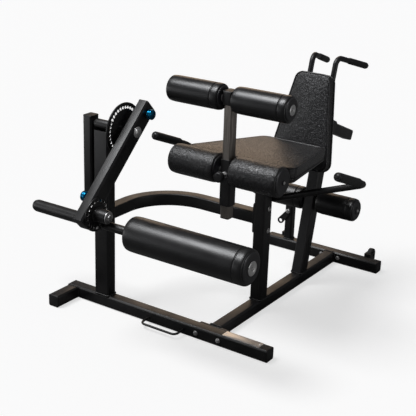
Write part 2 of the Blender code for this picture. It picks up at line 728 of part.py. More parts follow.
def backrest():
    lean = math.radians(BACK_LEAN)
    up_pad = Vector((0, math.sin(lean), math.cos(lean)))
    rearward = Vector((0, math.cos(lean), -math.sin(lean)))
    face = Vector((0, BACK_FRONT_Y, BACK_FRONT_Z))
    turn = Matrix((Vector((1, 0, 0)), up_pad, -rearward)).transposed().to_4x4()

    def pad_place(depth, thickness):
        return Matrix.Translation(face + rearward * (depth + thickness / 2)) @ turn

    outline = tapered_outline(BACK_HALF_BOTTOM, BACK_HALF_TOP, -BACK_BELOW, BACK_ABOVE, 0.032)
    pad = flat_solid("back_pad", [outline], BACK_THICK, pad_place(0.0, BACK_THICK), LEATHER)
    soften(pad, 0.012)
    inset = 0.012
    board_outline = tapered_outline(
        BACK_HALF_BOTTOM - inset, BACK_HALF_TOP - inset, inset - BACK_BELOW, BACK_ABOVE - inset, 0.026
    )
    flat_solid("back_board", [board_outline], BOARD, pad_place(BACK_THICK + GAP, BOARD), WOOD)
    middle = Vector((0, SLIDE_Y, SLIDE_Z))
    drop = math.radians(SLIDE_DROP)
    backward = Vector((0, math.cos(drop), -math.sin(drop)))
    upward = Vector((0, math.sin(drop), math.cos(drop)))
    half_sleeve = backward * SLIDE_SLEEVE_LENGTH / 2
    sleeve = box_tube(
        "slide_sleeve", middle - half_sleeve, middle + half_sleeve, SLIDE_SLEEVE, SLIDE_SLEEVE, upward
    )
    bar_ends = middle - backward * SLIDE_AHEAD, middle + backward * SLIDE_BEHIND
    bar = box_tube("slide_tube", *bar_ends, SLIDE_BAR, SLIDE_BAR, upward)
    board_rear = face + rearward * (BACK_THICK + 2 * GAP + BOARD)
    mitre(bar, board_rear, rearward)
    for step in range(-2, 3):
        hole = middle + backward * 0.025 * step
        cut_round(bar, (-0.040, hole.y, hole.z), (0.0, hole.y, hole.z), PIN_HOLE_RADIUS, 8)
    cut_round(sleeve, (-0.040, middle.y, middle.z), (0.0, middle.y, middle.z), PIN_HOLE_RADIUS, 8)
    tip_x = -SLIDE_BAR / 2 - 0.0006
    pull_pin("slide_pin", (tip_x, middle.y, middle.z), (-1, 0, 0), 0.034, PLASTIC)
    board_back = BACK_THICK + GAP + BOARD + GAP
    for side, word in ((-1, "left"), (1, "right")):
        top_handle(side, word, face + rearward * (board_back + TOP_HANDLE_RADIUS), up_pad)


def top_handle(side, word, behind, up_pad):
    """A bent rod that stands up behind the back pad and turns back and outwards."""
    sideways = Vector((side * 0.053, 0, 0))
    corners = [
        behind + sideways + up_pad * 0.150,
        behind + sideways + up_pad * 0.395,
        Vector((side * 0.090, 0.966, 0.902)),
    ]
    bent_pipe("top_handle_" + word, rounded_path(corners, 0.030, 5), TOP_HANDLE_RADIUS, PAINT, 0.0)


def lever():
    left = WEIGHT_ARM_X - WEIGHT_ARM_WIDTH / 2
    arm_top = PIVOT_Z + 0.026
    arm = box_tube(
        "weight_arm", (WEIGHT_ARM_X, 0, PIVOT_Z - WEIGHT_ARM_DROP), (WEIGHT_ARM_X, 0, arm_top),
        WEIGHT_ARM_WIDTH, BEAM, (0, 1, 0),
    )
    bore = SHAFT_RADIUS + GAP
    cut_round(arm, *across(0, PIVOT_Z, left - 0.010, left + WEIGHT_ARM_WIDTH + 0.005), bore, 16)
    flange = 0.006
    flange_left = left - GAP - flange
    length = flange_left + flange - PEG_END_X
    profile = [
        (0.0, length),
        (0.032, length),
        (0.032, length - flange),
        (PEG_RADIUS, length - flange),
        (PEG_RADIUS, 0.006),
        (PEG_RADIUS - 0.006, 0.0),
        (PEG_RADIUS - 0.008, 0.0),
        (PEG_RADIUS - 0.008, length - 0.012),
        (0.0, length - 0.012),
    ]
    turned("weight_peg", profile, (PEG_END_X, 0, PEG_Z), (flange_left + flange, 0, PEG_Z), PAINT, 24)
    angle = 90 - ARM_LEAN
    holes = [circle((0, 0), bore, 16)]
    for step in range(int(360 / START_HOLE_STEP)):
        turn = math.radians(angle + START_HOLE_STEP * step)
        at = START_HOLE_CIRCLE * Vector((math.cos(turn), math.sin(turn)))
        holes.append(circle(at, PIN_HOLE_RADIUS, 6))
    face_x = Matrix(((0, 0, 1), (1, 0, 0), (0, 1, 0))).to_4x4()
    place = Matrix.Translation((START_DISC_X, 0, PIVOT_Z)) @ face_x
    flat_solid("start_disc", [circle((0, 0), START_DISC_RADIUS, 48), *holes], DISC, place, PAINT)
    shaft_right = ARM_X + ARM_THICK / 2 + GAP
    cap = 0.008
    shaft_left = left - 0.006
    length = shaft_right + cap - shaft_left
    profile = [
        (0.0, length),
        (0.010, length),
        (0.018, length - 0.003),
        (0.018, length - cap),
        (SHAFT_RADIUS, length - cap),
        (SHAFT_RADIUS, 0.0),
        (0.0, 0.0),
    ]
    turned("pivot_shaft", profile, (shaft_left, 0, PIVOT_Z), (shaft_right + cap, 0, PIVOT_Z), ZINC, 20)


def arm_point(along, behind=0.0):
    """(y, z) of a point that far down the roller arm from the pivot, and that far behind its middle line."""
    lean = math.radians(ARM_LEAN)
    y = -along * math.sin(lean) + behind * math.cos(lean)
    z = PIVOT_Z - along * math.cos(lean) - behind * math.sin(lean)
    return y, z


def roller_arm():
    lean = math.radians(ARM_LEAN)
    across_arm = (0, math.cos(lean), -math.sin(lean))
    start = (ARM_X, *arm_point(-ARM_ABOVE))
    end = (ARM_X, *arm_point(ARM_BELOW))
    arm = box_tube("roller_arm", start, end, ARM_THICK, ARM_WIDTH, across_arm)
    reach = 0.040
    holes = (
        (0.0, 0.0, SHAFT_RADIUS + GAP, -reach, reach),
        (-START_HOLE_CIRCLE, 0.0, PIN_HOLE_RADIUS, -reach, reach),
        (CRANK_PIN_ALONG, 0.0, PIN_HOLE_RADIUS, -reach, reach),
        (HUB_ALONG, HUB_BEHIND, 0.0083, 0.0, reach),
    )
    for along, behind, radius, near, far in holes:
        y, z = arm_point(along, behind)
        cut_round(arm, *across(y, z, ARM_X + near, ARM_X + far), radius, 16 if radius > 0.006 else 8)
    right = ARM_X + ARM_THICK / 2
    left = ARM_X - ARM_THICK / 2
    y, z = arm_point(-START_HOLE_CIRCLE)
    tip_x = START_DISC_X + DISC / 2 + 0.0005
    pull_pin("arm_pin", (tip_x, y, z), (1, 0, 0), right + 0.004 - tip_x, BLUE)
    y, z = arm_point(CRANK_PIN_ALONG)
    pull_pin("crank_pin", (right - 0.0003, y, z), (-1, 0, 0), right - left + 0.012, BLUE)
    hub_y, hub_z = arm_point(HUB_ALONG, HUB_BEHIND)
    bolt = 0.0080
    tip = right - 0.012
    head = right + PLATE + HUB_LENGTH + 2 * GAP
    length = head + 0.010 - tip
    profile = [
        (0.0, length),
        (0.006, length),
        (0.012, length - 0.002),
        (0.012, length - 0.007),
        (0.023, length - 0.007),
        (0.023, length - 0.010),
        (bolt, length - 0.010),
        (bolt, 0.0),
        (0.0, 0.0),
    ]
    turned("hub_bolt", profile, (tip, hub_y, hub_z), (head + 0.010, hub_y, hub_z), ZINC, 20)


def crank():
    hub_y, hub_z = arm_point(HUB_ALONG, HUB_BEHIND)
    pin_y, pin_z = arm_point(CRANK_PIN_ALONG)
    hole_circle = math.hypot(pin_y - hub_y, pin_z - hub_z)
    first = math.degrees(math.atan2(pin_z - hub_z, pin_y - hub_y))
    right = ARM_X + ARM_THICK / 2
    bore = 0.0083
    holes = [circle((0, 0), bore, 16)]
    for step in range(int(360 / CRANK_HOLE_STEP)):
        turn = math.radians(first + CRANK_HOLE_STEP * step)
        at = hole_circle * Vector((math.cos(turn), math.sin(turn)))
        if (at - Vector((AXLE_BACK, -AXLE_DOWN))).length > AXLE_RADIUS + PIN_HOLE_RADIUS:
            holes.append(circle(at, PIN_HOLE_RADIUS, 6))
    face_x = Matrix(((0, 0, 1), (1, 0, 0), (0, 1, 0))).to_4x4()
    place = Matrix.Translation((right + GAP + DISC / 2, hub_y, hub_z)) @ face_x
    flat_solid("crank_disc", [circle((0, 0), CRANK_DISC_RADIUS, 40), *holes], DISC, place, PAINT)
    hub_left = right + DISC + 2 * GAP
    hub_right = right + PLATE + HUB_LENGTH
    ring("crank_hub", *across(hub_y, hub_z, hub_left, hub_right), HUB_RADIUS, bore, PAINT, 0.002, 18)
    axle_y, axle_z = hub_y + AXLE_BACK, hub_z - AXLE_DOWN
    ends = across(axle_y, axle_z, hub_left, ROLLER_RIGHT + 0.006)
    thin = 0.012
    collar = ROLLER_LEFT - 0.004 - hub_left
    length = ends[1][0] - ends[0][0]
    profile = [
        (0.0, length),
        (thin, length),
        (thin, collar),
        (AXLE_RADIUS, collar),
        (AXLE_RADIUS, 0.0),
        (0.0, 0.0),
    ]
    turned("roller_axle", profile, *ends, PAINT, 20)
    roller_ends = across(axle_y, axle_z, ROLLER_LEFT, ROLLER_RIGHT)
    ring("main_roller", *roller_ends, ROLLER_RADIUS, thin + GAP, FOAM, 0.010, 28)


base_frame()
lever_post()
posts()
side_handles()
small_fittings()
seat()
thigh_pad()
backrest()
lever()
roller_arm()
crank()
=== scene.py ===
# %% [markdown]
# # A leg extension machine, piece by piece
# The imported model gives every piece its size and its place, and each body its joint. Here each piece gets
# the shape and finish that the eye sees. First the frame is loaded, and a helper reads the box that each
# piece fills.

# %% Load the imported model
import json
import math

import bmesh
import bpy
import numpy as np
from mathutils import Matrix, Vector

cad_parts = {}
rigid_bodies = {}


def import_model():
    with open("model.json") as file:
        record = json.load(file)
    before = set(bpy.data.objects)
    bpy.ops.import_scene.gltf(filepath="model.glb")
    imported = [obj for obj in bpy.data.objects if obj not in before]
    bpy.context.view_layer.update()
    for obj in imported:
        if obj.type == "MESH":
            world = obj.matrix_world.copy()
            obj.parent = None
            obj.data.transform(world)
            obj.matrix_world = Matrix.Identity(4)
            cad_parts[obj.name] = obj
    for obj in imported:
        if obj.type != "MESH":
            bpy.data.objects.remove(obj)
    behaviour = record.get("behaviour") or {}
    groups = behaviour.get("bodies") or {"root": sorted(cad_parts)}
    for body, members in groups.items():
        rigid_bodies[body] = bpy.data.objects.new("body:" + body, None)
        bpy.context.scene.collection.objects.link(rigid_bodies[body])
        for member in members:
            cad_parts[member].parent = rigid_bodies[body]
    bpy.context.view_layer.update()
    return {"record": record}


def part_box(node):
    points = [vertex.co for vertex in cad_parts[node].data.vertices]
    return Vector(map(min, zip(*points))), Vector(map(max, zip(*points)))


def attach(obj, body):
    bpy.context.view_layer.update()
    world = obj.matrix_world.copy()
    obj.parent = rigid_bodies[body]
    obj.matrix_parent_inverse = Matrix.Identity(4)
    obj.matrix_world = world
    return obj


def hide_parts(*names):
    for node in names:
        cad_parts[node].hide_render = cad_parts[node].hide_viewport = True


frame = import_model()


def in_scene(name, data):
    """A new object with this data, linked to the scene."""
    made = bpy.data.objects.new(name, data)
    bpy.context.scene.collection.objects.link(made)
    return made


# %% [markdown]
# ## Camera
# The camera looks down a little on the machine from its front right, through a long lens, and leans very
# slightly. A camera can be aimed with a constraint, but here its three axes are worked out from those
# angles, so that the numbers say exactly how it stands.

# %% The camera
TURN, PITCH, LEAN = (math.radians(angle) for angle in (33.69, 20.256, 1.866))
CAMERA_AT = np.array([1.8117, -2.7610, 1.7472])
LENS = 85.47

ahead = np.array([-math.sin(TURN) * math.cos(PITCH), math.cos(TURN) * math.cos(PITCH), -math.sin(PITCH)])
level = np.array([math.cos(TURN), math.sin(TURN), 0.0])
upright = np.cross(level, ahead)
camera_x = math.cos(LEAN) * level + math.sin(LEAN) * upright
camera_y = -math.sin(LEAN) * level + math.cos(LEAN) * upright
camera_data = bpy.data.cameras.new("studio_camera")
camera_data.lens = LENS
camera_data.sensor_width = 36.0
camera = in_scene("studio_camera", camera_data)
camera_frame = Matrix.Identity(4)
for axis, direction in enumerate((camera_x, camera_y, -ahead, CAMERA_AT)):
    camera_frame.col[axis].xyz = direction
camera.matrix_world = camera_frame
bpy.context.scene.camera = camera
print("camera at", [round(value, 3) for value in camera.matrix_world.translation])


# %% [markdown]
# ## Two short helpers for materials
# Every finish is a tree of nodes. One helper adds a node and sets its numbers by name, and the other makes a
# material with its shader, so that the recipes further down stay short.


# %% Nodes and materials: two short helpers
def shader_node(tree, kind, **values):
    """Adds a node; a value goes to the socket of that name, or to the node's own setting of that name."""
    made = tree.nodes.new(kind)
    for name, value in values.items():
        words = name.replace("_", " ").title()
        if hasattr(made, name):
            setattr(made, name, value)
        else:
            made.inputs[words].default_value = value
    return made


def new_material(name, **values):
    """A material with a Principled shader; the numbers given are set on its own sockets."""
    material = bpy.data.materials.new(name)
    material.use_nodes = True
    shader = material.node_tree.nodes["Principled BSDF"]
    for words, value in values.items():
        shader.inputs[words.replace("_", " ").title().replace("Ior", "IOR")].default_value = value
    return material, material.node_tree, shader


# %% [markdown]
# ## Floor
# The machine stands on one seamless pale sheet. To the camera the sheet glows a little, which lifts it to
# near white while the soft shadow still shows. Light that bounces off it comes from a duller tone, so that
# the black paint stays black.


# %% The floor
def plain_sheet(name, size, height, count=9):
    """A flat square grid of count by count points: x and y run evenly over the size, z is the height."""
    steps = np.linspace(-size / 2, size / 2, count)
    x, y = np.meshgrid(steps, steps, indexing="ij")
    points = np.stack([x, y, np.full_like(x, height)], axis=-1).reshape(-1, 3)
    at = np.arange(count * count).reshape(count, count)
    faces = np.stack([at[:-1, :-1], at[1:, :-1], at[1:, 1:], at[:-1, 1:]], axis=-1).reshape(-1, 4)
    mesh = bpy.data.meshes.new(name)
    mesh.from_pydata(points.tolist(), [], faces.tolist())
    return in_scene(name, mesh)


FLOOR_LIFT = 0.645
FLOOR_SIZE = 60.0
FLOOR_HEIGHT = -0.0005

floor = plain_sheet("studio_floor", FLOOR_SIZE, FLOOR_HEIGHT)
floor_paint, floor_tree, floor_shader = new_material("floor_paint", roughness=0.75, specular_ior_level=0.0)
paper = shader_node(floor_tree, "ShaderNodeTexNoise", scale=3.0, detail=3.0)
paper_tone = shader_node(floor_tree, "ShaderNodeMix", data_type="RGBA")
paper_tone.inputs["A"].default_value = (0.500, 0.500, 0.500, 1)
paper_tone.inputs["B"].default_value = (0.510, 0.510, 0.510, 1)
floor_tree.links.new(paper.outputs["Fac"], paper_tone.inputs["Factor"])
seen = floor_tree.nodes.new("ShaderNodeLightPath").outputs["Is Camera Ray"]
bounced = shader_node(floor_tree, "ShaderNodeMix", data_type="RGBA")
bounced.inputs["A"].default_value = (0.20, 0.20, 0.20, 1)
floor_tree.links.new(paper_tone.outputs["Result"], bounced.inputs["B"])
floor_tree.links.new(seen, bounced.inputs["Factor"])
floor_tree.links.new(bounced.outputs["Result"], floor_shader.inputs["Base Color"])
lift = shader_node(floor_tree, "ShaderNodeMath", operation="MULTIPLY")
lift.inputs[1].default_value = FLOOR_LIFT
floor_tree.links.new(seen, lift.inputs[0])
floor_tree.links.new(lift.outputs["Value"], floor_shader.inputs["Emission Strength"])
floor_shader.inputs["Emission Color"].default_value = (1.0, 1.0, 1.0, 1)
floor.data.materials.append(floor_paint)
print("floor made,", FLOOR_SIZE, "m across")

# %% [markdown]
# ## Light
# A product studio has large soft panels in a pale room. The room gives the machine a faint even light, and
# the panels put long highlights on rollers, tubes and leather without touching the floor. A wide sun, high
# on the left, gives the one soft shadow. The camera sees the room's walls as near white.

# %% The light
room = bpy.data.worlds.new("pale_room")
room.use_nodes = True
room_tree = room.node_tree
wall = room_tree.nodes["Background"]
wall.inputs["Color"].default_value = (0.96, 0.96, 1.0, 1)
wall.inputs["Strength"].default_value = 0.13  # what the machine gets
backdrop = room_tree.nodes.new("ShaderNodeBackground")
backdrop.inputs["Strength"].default_value = 0.97  # what the camera sees
backdrop.inputs["Color"].default_value = (1.0, 1.0, 1.0, 1)
chosen = room_tree.nodes.new("ShaderNodeMixShader")
direct = room_tree.nodes.new("ShaderNodeLightPath").outputs["Is Camera Ray"]
room_tree.links.new(direct, chosen.inputs["Fac"])
room_tree.links.new(wall.outputs["Background"], chosen.inputs[1])
room_tree.links.new(backdrop.outputs["Background"], chosen.inputs[2])
room_tree.links.new(chosen.outputs["Shader"], room_tree.nodes["World Output"].inputs["Surface"])
bpy.context.scene.world = room
bpy.context.scene.view_settings.view_transform = "Standard"


def soft_panel(name, place, aim, size, power, colour=(1.0, 1.0, 1.0)):
    """A square light panel at a place, turned to face the aim, that gives highlights only."""
    light = bpy.data.lights.new(name, "AREA")
    light.color = colour
    light.shape = "SQUARE"
    light.size = size
    light.energy = power
    panel = in_scene(name, light)
    panel.visible_diffuse = False
    back = np.array(place, float) - np.array(aim, float)
    back /= np.linalg.norm(back)
    side = np.cross([0.0, 0.0, 1.0], back)
    side /= np.linalg.norm(side)
    turn = Matrix.Identity(4)
    for axis, direction in enumerate((side, np.cross(back, side), back, np.array(place, float))):
        turn.col[axis].xyz = direction
    panel.matrix_world = turn


soft_panel("key_panel", (-1.1, -1.0, 3.5), (0.0, 0.0, 0.4), 1.5, 72.0, (0.94, 0.96, 1.0))
soft_panel("front_panel", (-2.9, -3.4, 0.9), (0.0, 0.0, 0.4), 2.0, 13.0, (0.96, 0.97, 1.0))
soft_panel("warm_panel", (-2.6, 4.2, 2.3), (0.0, 0.4, 0.5), 2.2, 25.0, (1.0, 0.74, 0.52))
soft_panel("left_panel", (-4.6, -1.8, 0.7), (0.0, 0.2, 0.5), 2.4, 42.0)
soft_panel("right_panel", (4.8, 0.9, 0.7), (0.0, 0.3, 0.5), 2.4, 42.0)

SUN_STRENGTH = 1.75
SUN_WIDTH = math.radians(26)
sun = bpy.data.lights.new("soft_sun", "SUN")
sun.energy = SUN_STRENGTH
sun.angle = SUN_WIDTH
sun_object = in_scene("soft_sun", sun)
to_the_left, to_the_front = math.radians(-20), math.radians(17)
sun_object.matrix_world = Matrix.Rotation(to_the_left, 4, "Y") @ Matrix.Rotation(to_the_front, 4, "X")
print("the room, a sun and five panels are up")

# %% [markdown]
# ## Effects that several finishes share
# Powder coat, moulded plastic, foam skin and leather all have a fine uneven surface. The tops of pieces get a
# patchy warm pale tone, which is partly dust and partly a painted warm sheen, the warm light that tops catch.
# Each effect is one shader group with its own inputs, so a finish states how much of it it shows. A group
# puts out only masks and heights; the shader stays in the material.


# %% The shader groups
def effect_group(name, inputs, outputs):
    """An empty group with number inputs, which start at the values given, and number outputs."""
    group = bpy.data.node_groups.new(name, "ShaderNodeTree")
    for label, start in inputs.items():
        socket = group.interface.new_socket(label, in_out="INPUT", socket_type="NodeSocketFloat")
        socket.default_value = start
    for label in outputs:
        group.interface.new_socket(label, in_out="OUTPUT", socket_type="NodeSocketFloat")
    return group, group.nodes.new("NodeGroupInput"), group.nodes.new("NodeGroupOutput")


def calculate(tree, operation, first, second):
    """A Math node; first and second are each an output or a number."""
    made = shader_node(tree, "ShaderNodeMath", operation=operation)
    for socket, value in zip(made.inputs, (first, second)):
        if isinstance(value, (int, float)):
            socket.default_value = value
        else:
            tree.links.new(value, socket)
    return made.outputs["Value"]


def noise_of(tree, scale, detail=2.0, stretch=None):
    """Noise on Object coordinates; scale is a number or an output, and stretch squeezes it along the axes."""
    place = tree.nodes.new("ShaderNodeTexCoord").outputs["Object"]
    if stretch:
        mapping = shader_node(tree, "ShaderNodeMapping")
        mapping.inputs["Scale"].default_value = stretch
        tree.links.new(place, mapping.inputs["Vector"])
        place = mapping.outputs["Vector"]
    made = shader_node(tree, "ShaderNodeTexNoise", detail=detail)
    tree.links.new(place, made.inputs["Vector"])
    if isinstance(scale, (int, float)):
        made.inputs["Scale"].default_value = scale
    else:
        tree.links.new(scale, made.inputs["Scale"])
    return made.outputs["Fac"]


fine_skin, skin_in, skin_out = effect_group(
    "fine_skin", {"Fine Scale": 900.0, "Broad Scale": 14.0}, ("Height", "Cloud")
)
fine = noise_of(fine_skin, skin_in.outputs["Fine Scale"], 3.0)
broad = noise_of(fine_skin, skin_in.outputs["Broad Scale"], 4.0)
fine_skin.links.new(fine, skin_out.inputs["Height"])
fine_skin.links.new(broad, skin_out.inputs["Cloud"])

# Dust and painted sheen: a patchy mask on upward faces. The finishes tint it warm and lighter, partly as dust
# and partly as the warm light that tops catch.
dust_and_sheen, dust_sheen_in, dust_sheen_out = effect_group("dust_and_sheen", {"Amount": 0.3, "Patch Scale": 9.0}, ("Mask",))
surface_facing = dust_and_sheen.nodes.new("ShaderNodeSeparateXYZ")
facing_from = dust_and_sheen.nodes.new("ShaderNodeTexCoord").outputs["Normal"]
dust_and_sheen.links.new(facing_from, surface_facing.inputs["Vector"])
upward = calculate(dust_and_sheen, "POWER", calculate(dust_and_sheen, "MAXIMUM", surface_facing.outputs["Z"], 0.0), 3.0)
patches = noise_of(dust_and_sheen, dust_sheen_in.outputs["Patch Scale"], 5.0)
patchy = calculate(dust_and_sheen, "MULTIPLY", patches, dust_sheen_in.outputs["Amount"])
some = calculate(dust_and_sheen, "MULTIPLY", upward, patchy)
dust_and_sheen.links.new(some, dust_sheen_out.inputs["Mask"])

hair_lines, hair_in, hair_out = effect_group("hair_lines", {"Line Scale": 1.0}, ("Lines",))
drawn_lines = noise_of(hair_lines, hair_in.outputs["Line Scale"], 4.0, (900.0, 900.0, 12.0))
hair_lines.links.new(drawn_lines, hair_out.inputs["Lines"])

hide_grain, grain_in, grain_out = effect_group(
    "hide_grain", {"Cell Scale": 380.0}, ("Height", "Crease", "Speck")
)
wrinkles = noise_of(hide_grain, 78.0, 2.0)
cells = shader_node(hide_grain, "ShaderNodeTexVoronoi", feature="DISTANCE_TO_EDGE")
hide_grain.links.new(hide_grain.nodes.new("ShaderNodeTexCoord").outputs["Object"], cells.inputs["Vector"])
hide_grain.links.new(grain_in.outputs["Cell Scale"], cells.inputs["Scale"])
from_edge = calculate(hide_grain, "MULTIPLY", cells.outputs["Distance"], 5.0)
domed = calculate(hide_grain, "MINIMUM", from_edge, 1.0)
low_domes = calculate(hide_grain, "MULTIPLY", domed, 0.25)
wrinkled = calculate(hide_grain, "ADD", low_domes, calculate(hide_grain, "MULTIPLY", wrinkles, 1.5))
# Speck noise: the leather recipe paints pale specks with it as glints of highlight, and makes the leather
# glossier there.
hide_grain.links.new(noise_of(hide_grain, 180.0, 2.0), grain_out.inputs["Speck"])
hide_grain.links.new(wrinkled, grain_out.inputs["Height"])
# Crease is high between the cells. The leather recipe paints shade there.
hide_grain.links.new(calculate(hide_grain, "SUBTRACT", 1.0, domed), grain_out.inputs["Crease"])
print("groups:", [group.name for group in bpy.data.node_groups])


# %% [markdown]
# ## Finishes
# The frame is powder coated, the rollers have a skinned foam, the pads grained leather, and bolts are zinc
# plated. Most finishes differ only in their two tones, their gloss and how fine their skin is, so one recipe
# makes them. Brushed steel and leather have a recipe of their own.


# %% Finishes: a short recipe for each
def placed(tree, group, **values):
    """Places a shader group in a material, with its own values."""
    made = tree.nodes.new("ShaderNodeGroup")
    made.node_tree = group
    for name, value in values.items():
        made.inputs[name.replace("_", " ").title()].default_value = value
    return made


def mixed(tree, factor, first, second):
    """A colour between first and second, each a colour or an output."""
    made = shader_node(tree, "ShaderNodeMix", data_type="RGBA")
    tree.links.new(factor, made.inputs["Factor"])
    for socket, colour in ((made.inputs["A"], first), (made.inputs["B"], second)):
        if isinstance(colour, tuple):
            socket.default_value = (*colour, 1.0)
        else:
            tree.links.new(colour, socket)
    return made.outputs["Result"]


def ranged(tree, factor, low, high):
    """A number that runs from low to high as the factor runs from 0.3 to 0.7, where noise mostly lies."""
    made = shader_node(tree, "ShaderNodeMapRange")
    made.inputs["From Min"].default_value = 0.3
    made.inputs["From Max"].default_value = 0.7
    made.inputs["To Min"].default_value = low
    made.inputs["To Max"].default_value = high
    tree.links.new(factor, made.inputs["Value"])
    return made.outputs["Result"]


def bumped(tree, shader, height, strength, distance):
    """Feeds a height through a Bump node to the shader's normal."""
    made = shader_node(tree, "ShaderNodeBump", strength=strength, distance=distance)
    tree.links.new(height, made.inputs["Height"])
    tree.links.new(made.outputs["Normal"], shader.inputs["Normal"])


# The warm pale tone that the tops are mixed towards: partly dust, partly a painted warm sheen.
DUST_AND_SHEEN_COLOUR = (0.20, 0.18, 0.16)


def skinned_finish(name, dark, light, rough, fine_scale, depth, dust_sheen_amount=0.0, **values):
    """A finish with a clouded colour, an uneven gloss, a fine skin and, where wanted, a warm tone on top that
    is partly dust and partly a painted warm sheen.
    """
    material, tree, shader = new_material(name, **values)
    skin = placed(tree, fine_skin, fine_scale=fine_scale)
    colour = mixed(tree, ranged(tree, skin.outputs["Cloud"], 0.0, 1.0), dark, light)
    # Tops mixed towards a warm pale tone: dust plus a painted warm sheen.
    if dust_sheen_amount:
        dust_sheen_mask = placed(tree, dust_and_sheen, amount=dust_sheen_amount)
        colour = mixed(tree, dust_sheen_mask.outputs["Mask"], colour, DUST_AND_SHEEN_COLOUR)
    tree.links.new(colour, shader.inputs["Base Color"])
    tree.links.new(ranged(tree, skin.outputs["Cloud"], *rough), shader.inputs["Roughness"])
    bumped(tree, shader, skin.outputs["Height"], depth, 0.0005)
    return material


powder_coat = skinned_finish(
    "powder_coat", (0.0055, 0.0055, 0.0065), (0.0110, 0.0105, 0.0110), (0.34, 0.46), 1100.0, 0.16, 0.10,
    specular_ior_level=0.42,
)
moulded_black = skinned_finish(
    "moulded_black", (0.006, 0.006, 0.007), (0.012, 0.012, 0.013), (0.42, 0.55), 1500.0, 0.20, 0.06,
    specular_ior_level=0.35,
)
moulded_grey = skinned_finish(
    "moulded_grey", (0.022, 0.022, 0.025), (0.036, 0.036, 0.040), (0.38, 0.50), 1300.0, 0.18, 0.03,
    specular_ior_level=0.40,
)
wheel_rubber = skinned_finish(
    "wheel_rubber", (0.012, 0.012, 0.012), (0.022, 0.021, 0.020), (0.60, 0.75), 700.0, 0.3
)
foam_skin = skinned_finish(
    "foam_skin", (0.0050, 0.0050, 0.0060), (0.0090, 0.0088, 0.0098), (0.30, 0.40), 620.0, 0.34, 0.05,
    specular_ior_level=0.50,
)
hand_grip = skinned_finish(
    "hand_grip", (0.006, 0.006, 0.007), (0.012, 0.012, 0.013), (0.46, 0.60), 800.0, 0.40, 0.05,
    specular_ior_level=0.35,
)
edge_board = skinned_finish(
    "edge_board", (0.010, 0.009, 0.008), (0.022, 0.019, 0.016), (0.65, 0.80), 260.0, 0.5
)
zinc_plate = skinned_finish(
    "zinc_plate", (0.52, 0.52, 0.52), (0.72, 0.71, 0.70), (0.30, 0.46), 900.0, 0.05, metallic=1.0
)
blue_anodised = skinned_finish(
    "blue_anodised", (0.006, 0.130, 0.270), (0.012, 0.210, 0.380), (0.20, 0.30), 1400.0, 0.05, metallic=1.0
)

brushed_steel, steel_tree, steel_shader = new_material("brushed_steel", metallic=1.0)
lines = placed(steel_tree, hair_lines)
line_share = ranged(steel_tree, lines.outputs["Lines"], 0.0, 1.0)
steel_tone = mixed(steel_tree, line_share, (0.15, 0.135, 0.12), (0.36, 0.33, 0.30))
steel_tree.links.new(steel_tone, steel_shader.inputs["Base Color"])
steel_tree.links.new(ranged(steel_tree, lines.outputs["Lines"], 0.26, 0.44), steel_shader.inputs["Roughness"])
bumped(steel_tree, steel_shader, lines.outputs["Lines"], 0.06, 0.0003)


def leather_finish(name, cell_scale, depth, dark, light, glint_speck):
    """Grained synthetic leather: small domed cells, painted shade in the creases between them, pale specks
    painted in as glints of highlight, and slow clouds of colour.

    Glint speck is how many of the painted glint specks show, and they are also where the leather shines most.
    """
    material, tree, shader = new_material(name, specular_ior_level=0.5)
    grain = placed(tree, hide_grain, cell_scale=cell_scale)
    skin = placed(tree, fine_skin, fine_scale=1500.0, broad_scale=11.0)
    clouded = mixed(tree, ranged(tree, skin.outputs["Cloud"], 0.0, 1.0), dark, light)
    # Painted highlight: pale specks in the colour stand in for glints on the grain.
    glint_speck_share = ranged(tree, grain.outputs["Speck"], -0.7, glint_speck)
    glint_specked = mixed(tree, glint_speck_share, clouded, (0.034, 0.034, 0.038))
    # Painted shade: the colour is darkened in the creases between the grain's cells.
    crease_shade_share = calculate(tree, "MULTIPLY", grain.outputs["Crease"], 0.55)
    crease_shaded = mixed(tree, crease_shade_share, glint_specked, (0.006, 0.006, 0.006))
    # The leather's tops are mixed towards a warm pale tone: partly dust, partly a painted warm sheen.
    dust_sheen_mask = placed(tree, dust_and_sheen, amount=0.10)
    dust_sheen_coloured = mixed(tree, dust_sheen_mask.outputs["Mask"], crease_shaded, (0.15, 0.13, 0.11))
    tree.links.new(dust_sheen_coloured, shader.inputs["Base Color"])
    tree.links.new(ranged(tree, grain.outputs["Speck"], 0.46, 0.20), shader.inputs["Roughness"])
    bumped(tree, shader, grain.outputs["Height"], depth, 0.0012)
    return material


seat_leather = leather_finish(
    "seat_leather", 250.0, 1.0, (0.0060, 0.0060, 0.0070), (0.0105, 0.0100, 0.0110), 1.0
)
piping_leather = leather_finish(
    "piping_leather", 700.0, 0.10, (0.005, 0.005, 0.006), (0.009, 0.009, 0.010), 0.2
)
print("finishes:", len(bpy.data.materials))

# %% [markdown]
# ## Shapes from numbers
# Almost every piece here is an outline carried up a stack of sizes and heights: a circle gives a roller, a
# knob or a bolt's washer, a hexagon gives a bolt head, and a rounded box gives an end plug or a cushion.
# Bent rods and tubes are a cross-section carried along a path. Both are worked out as whole arrays.


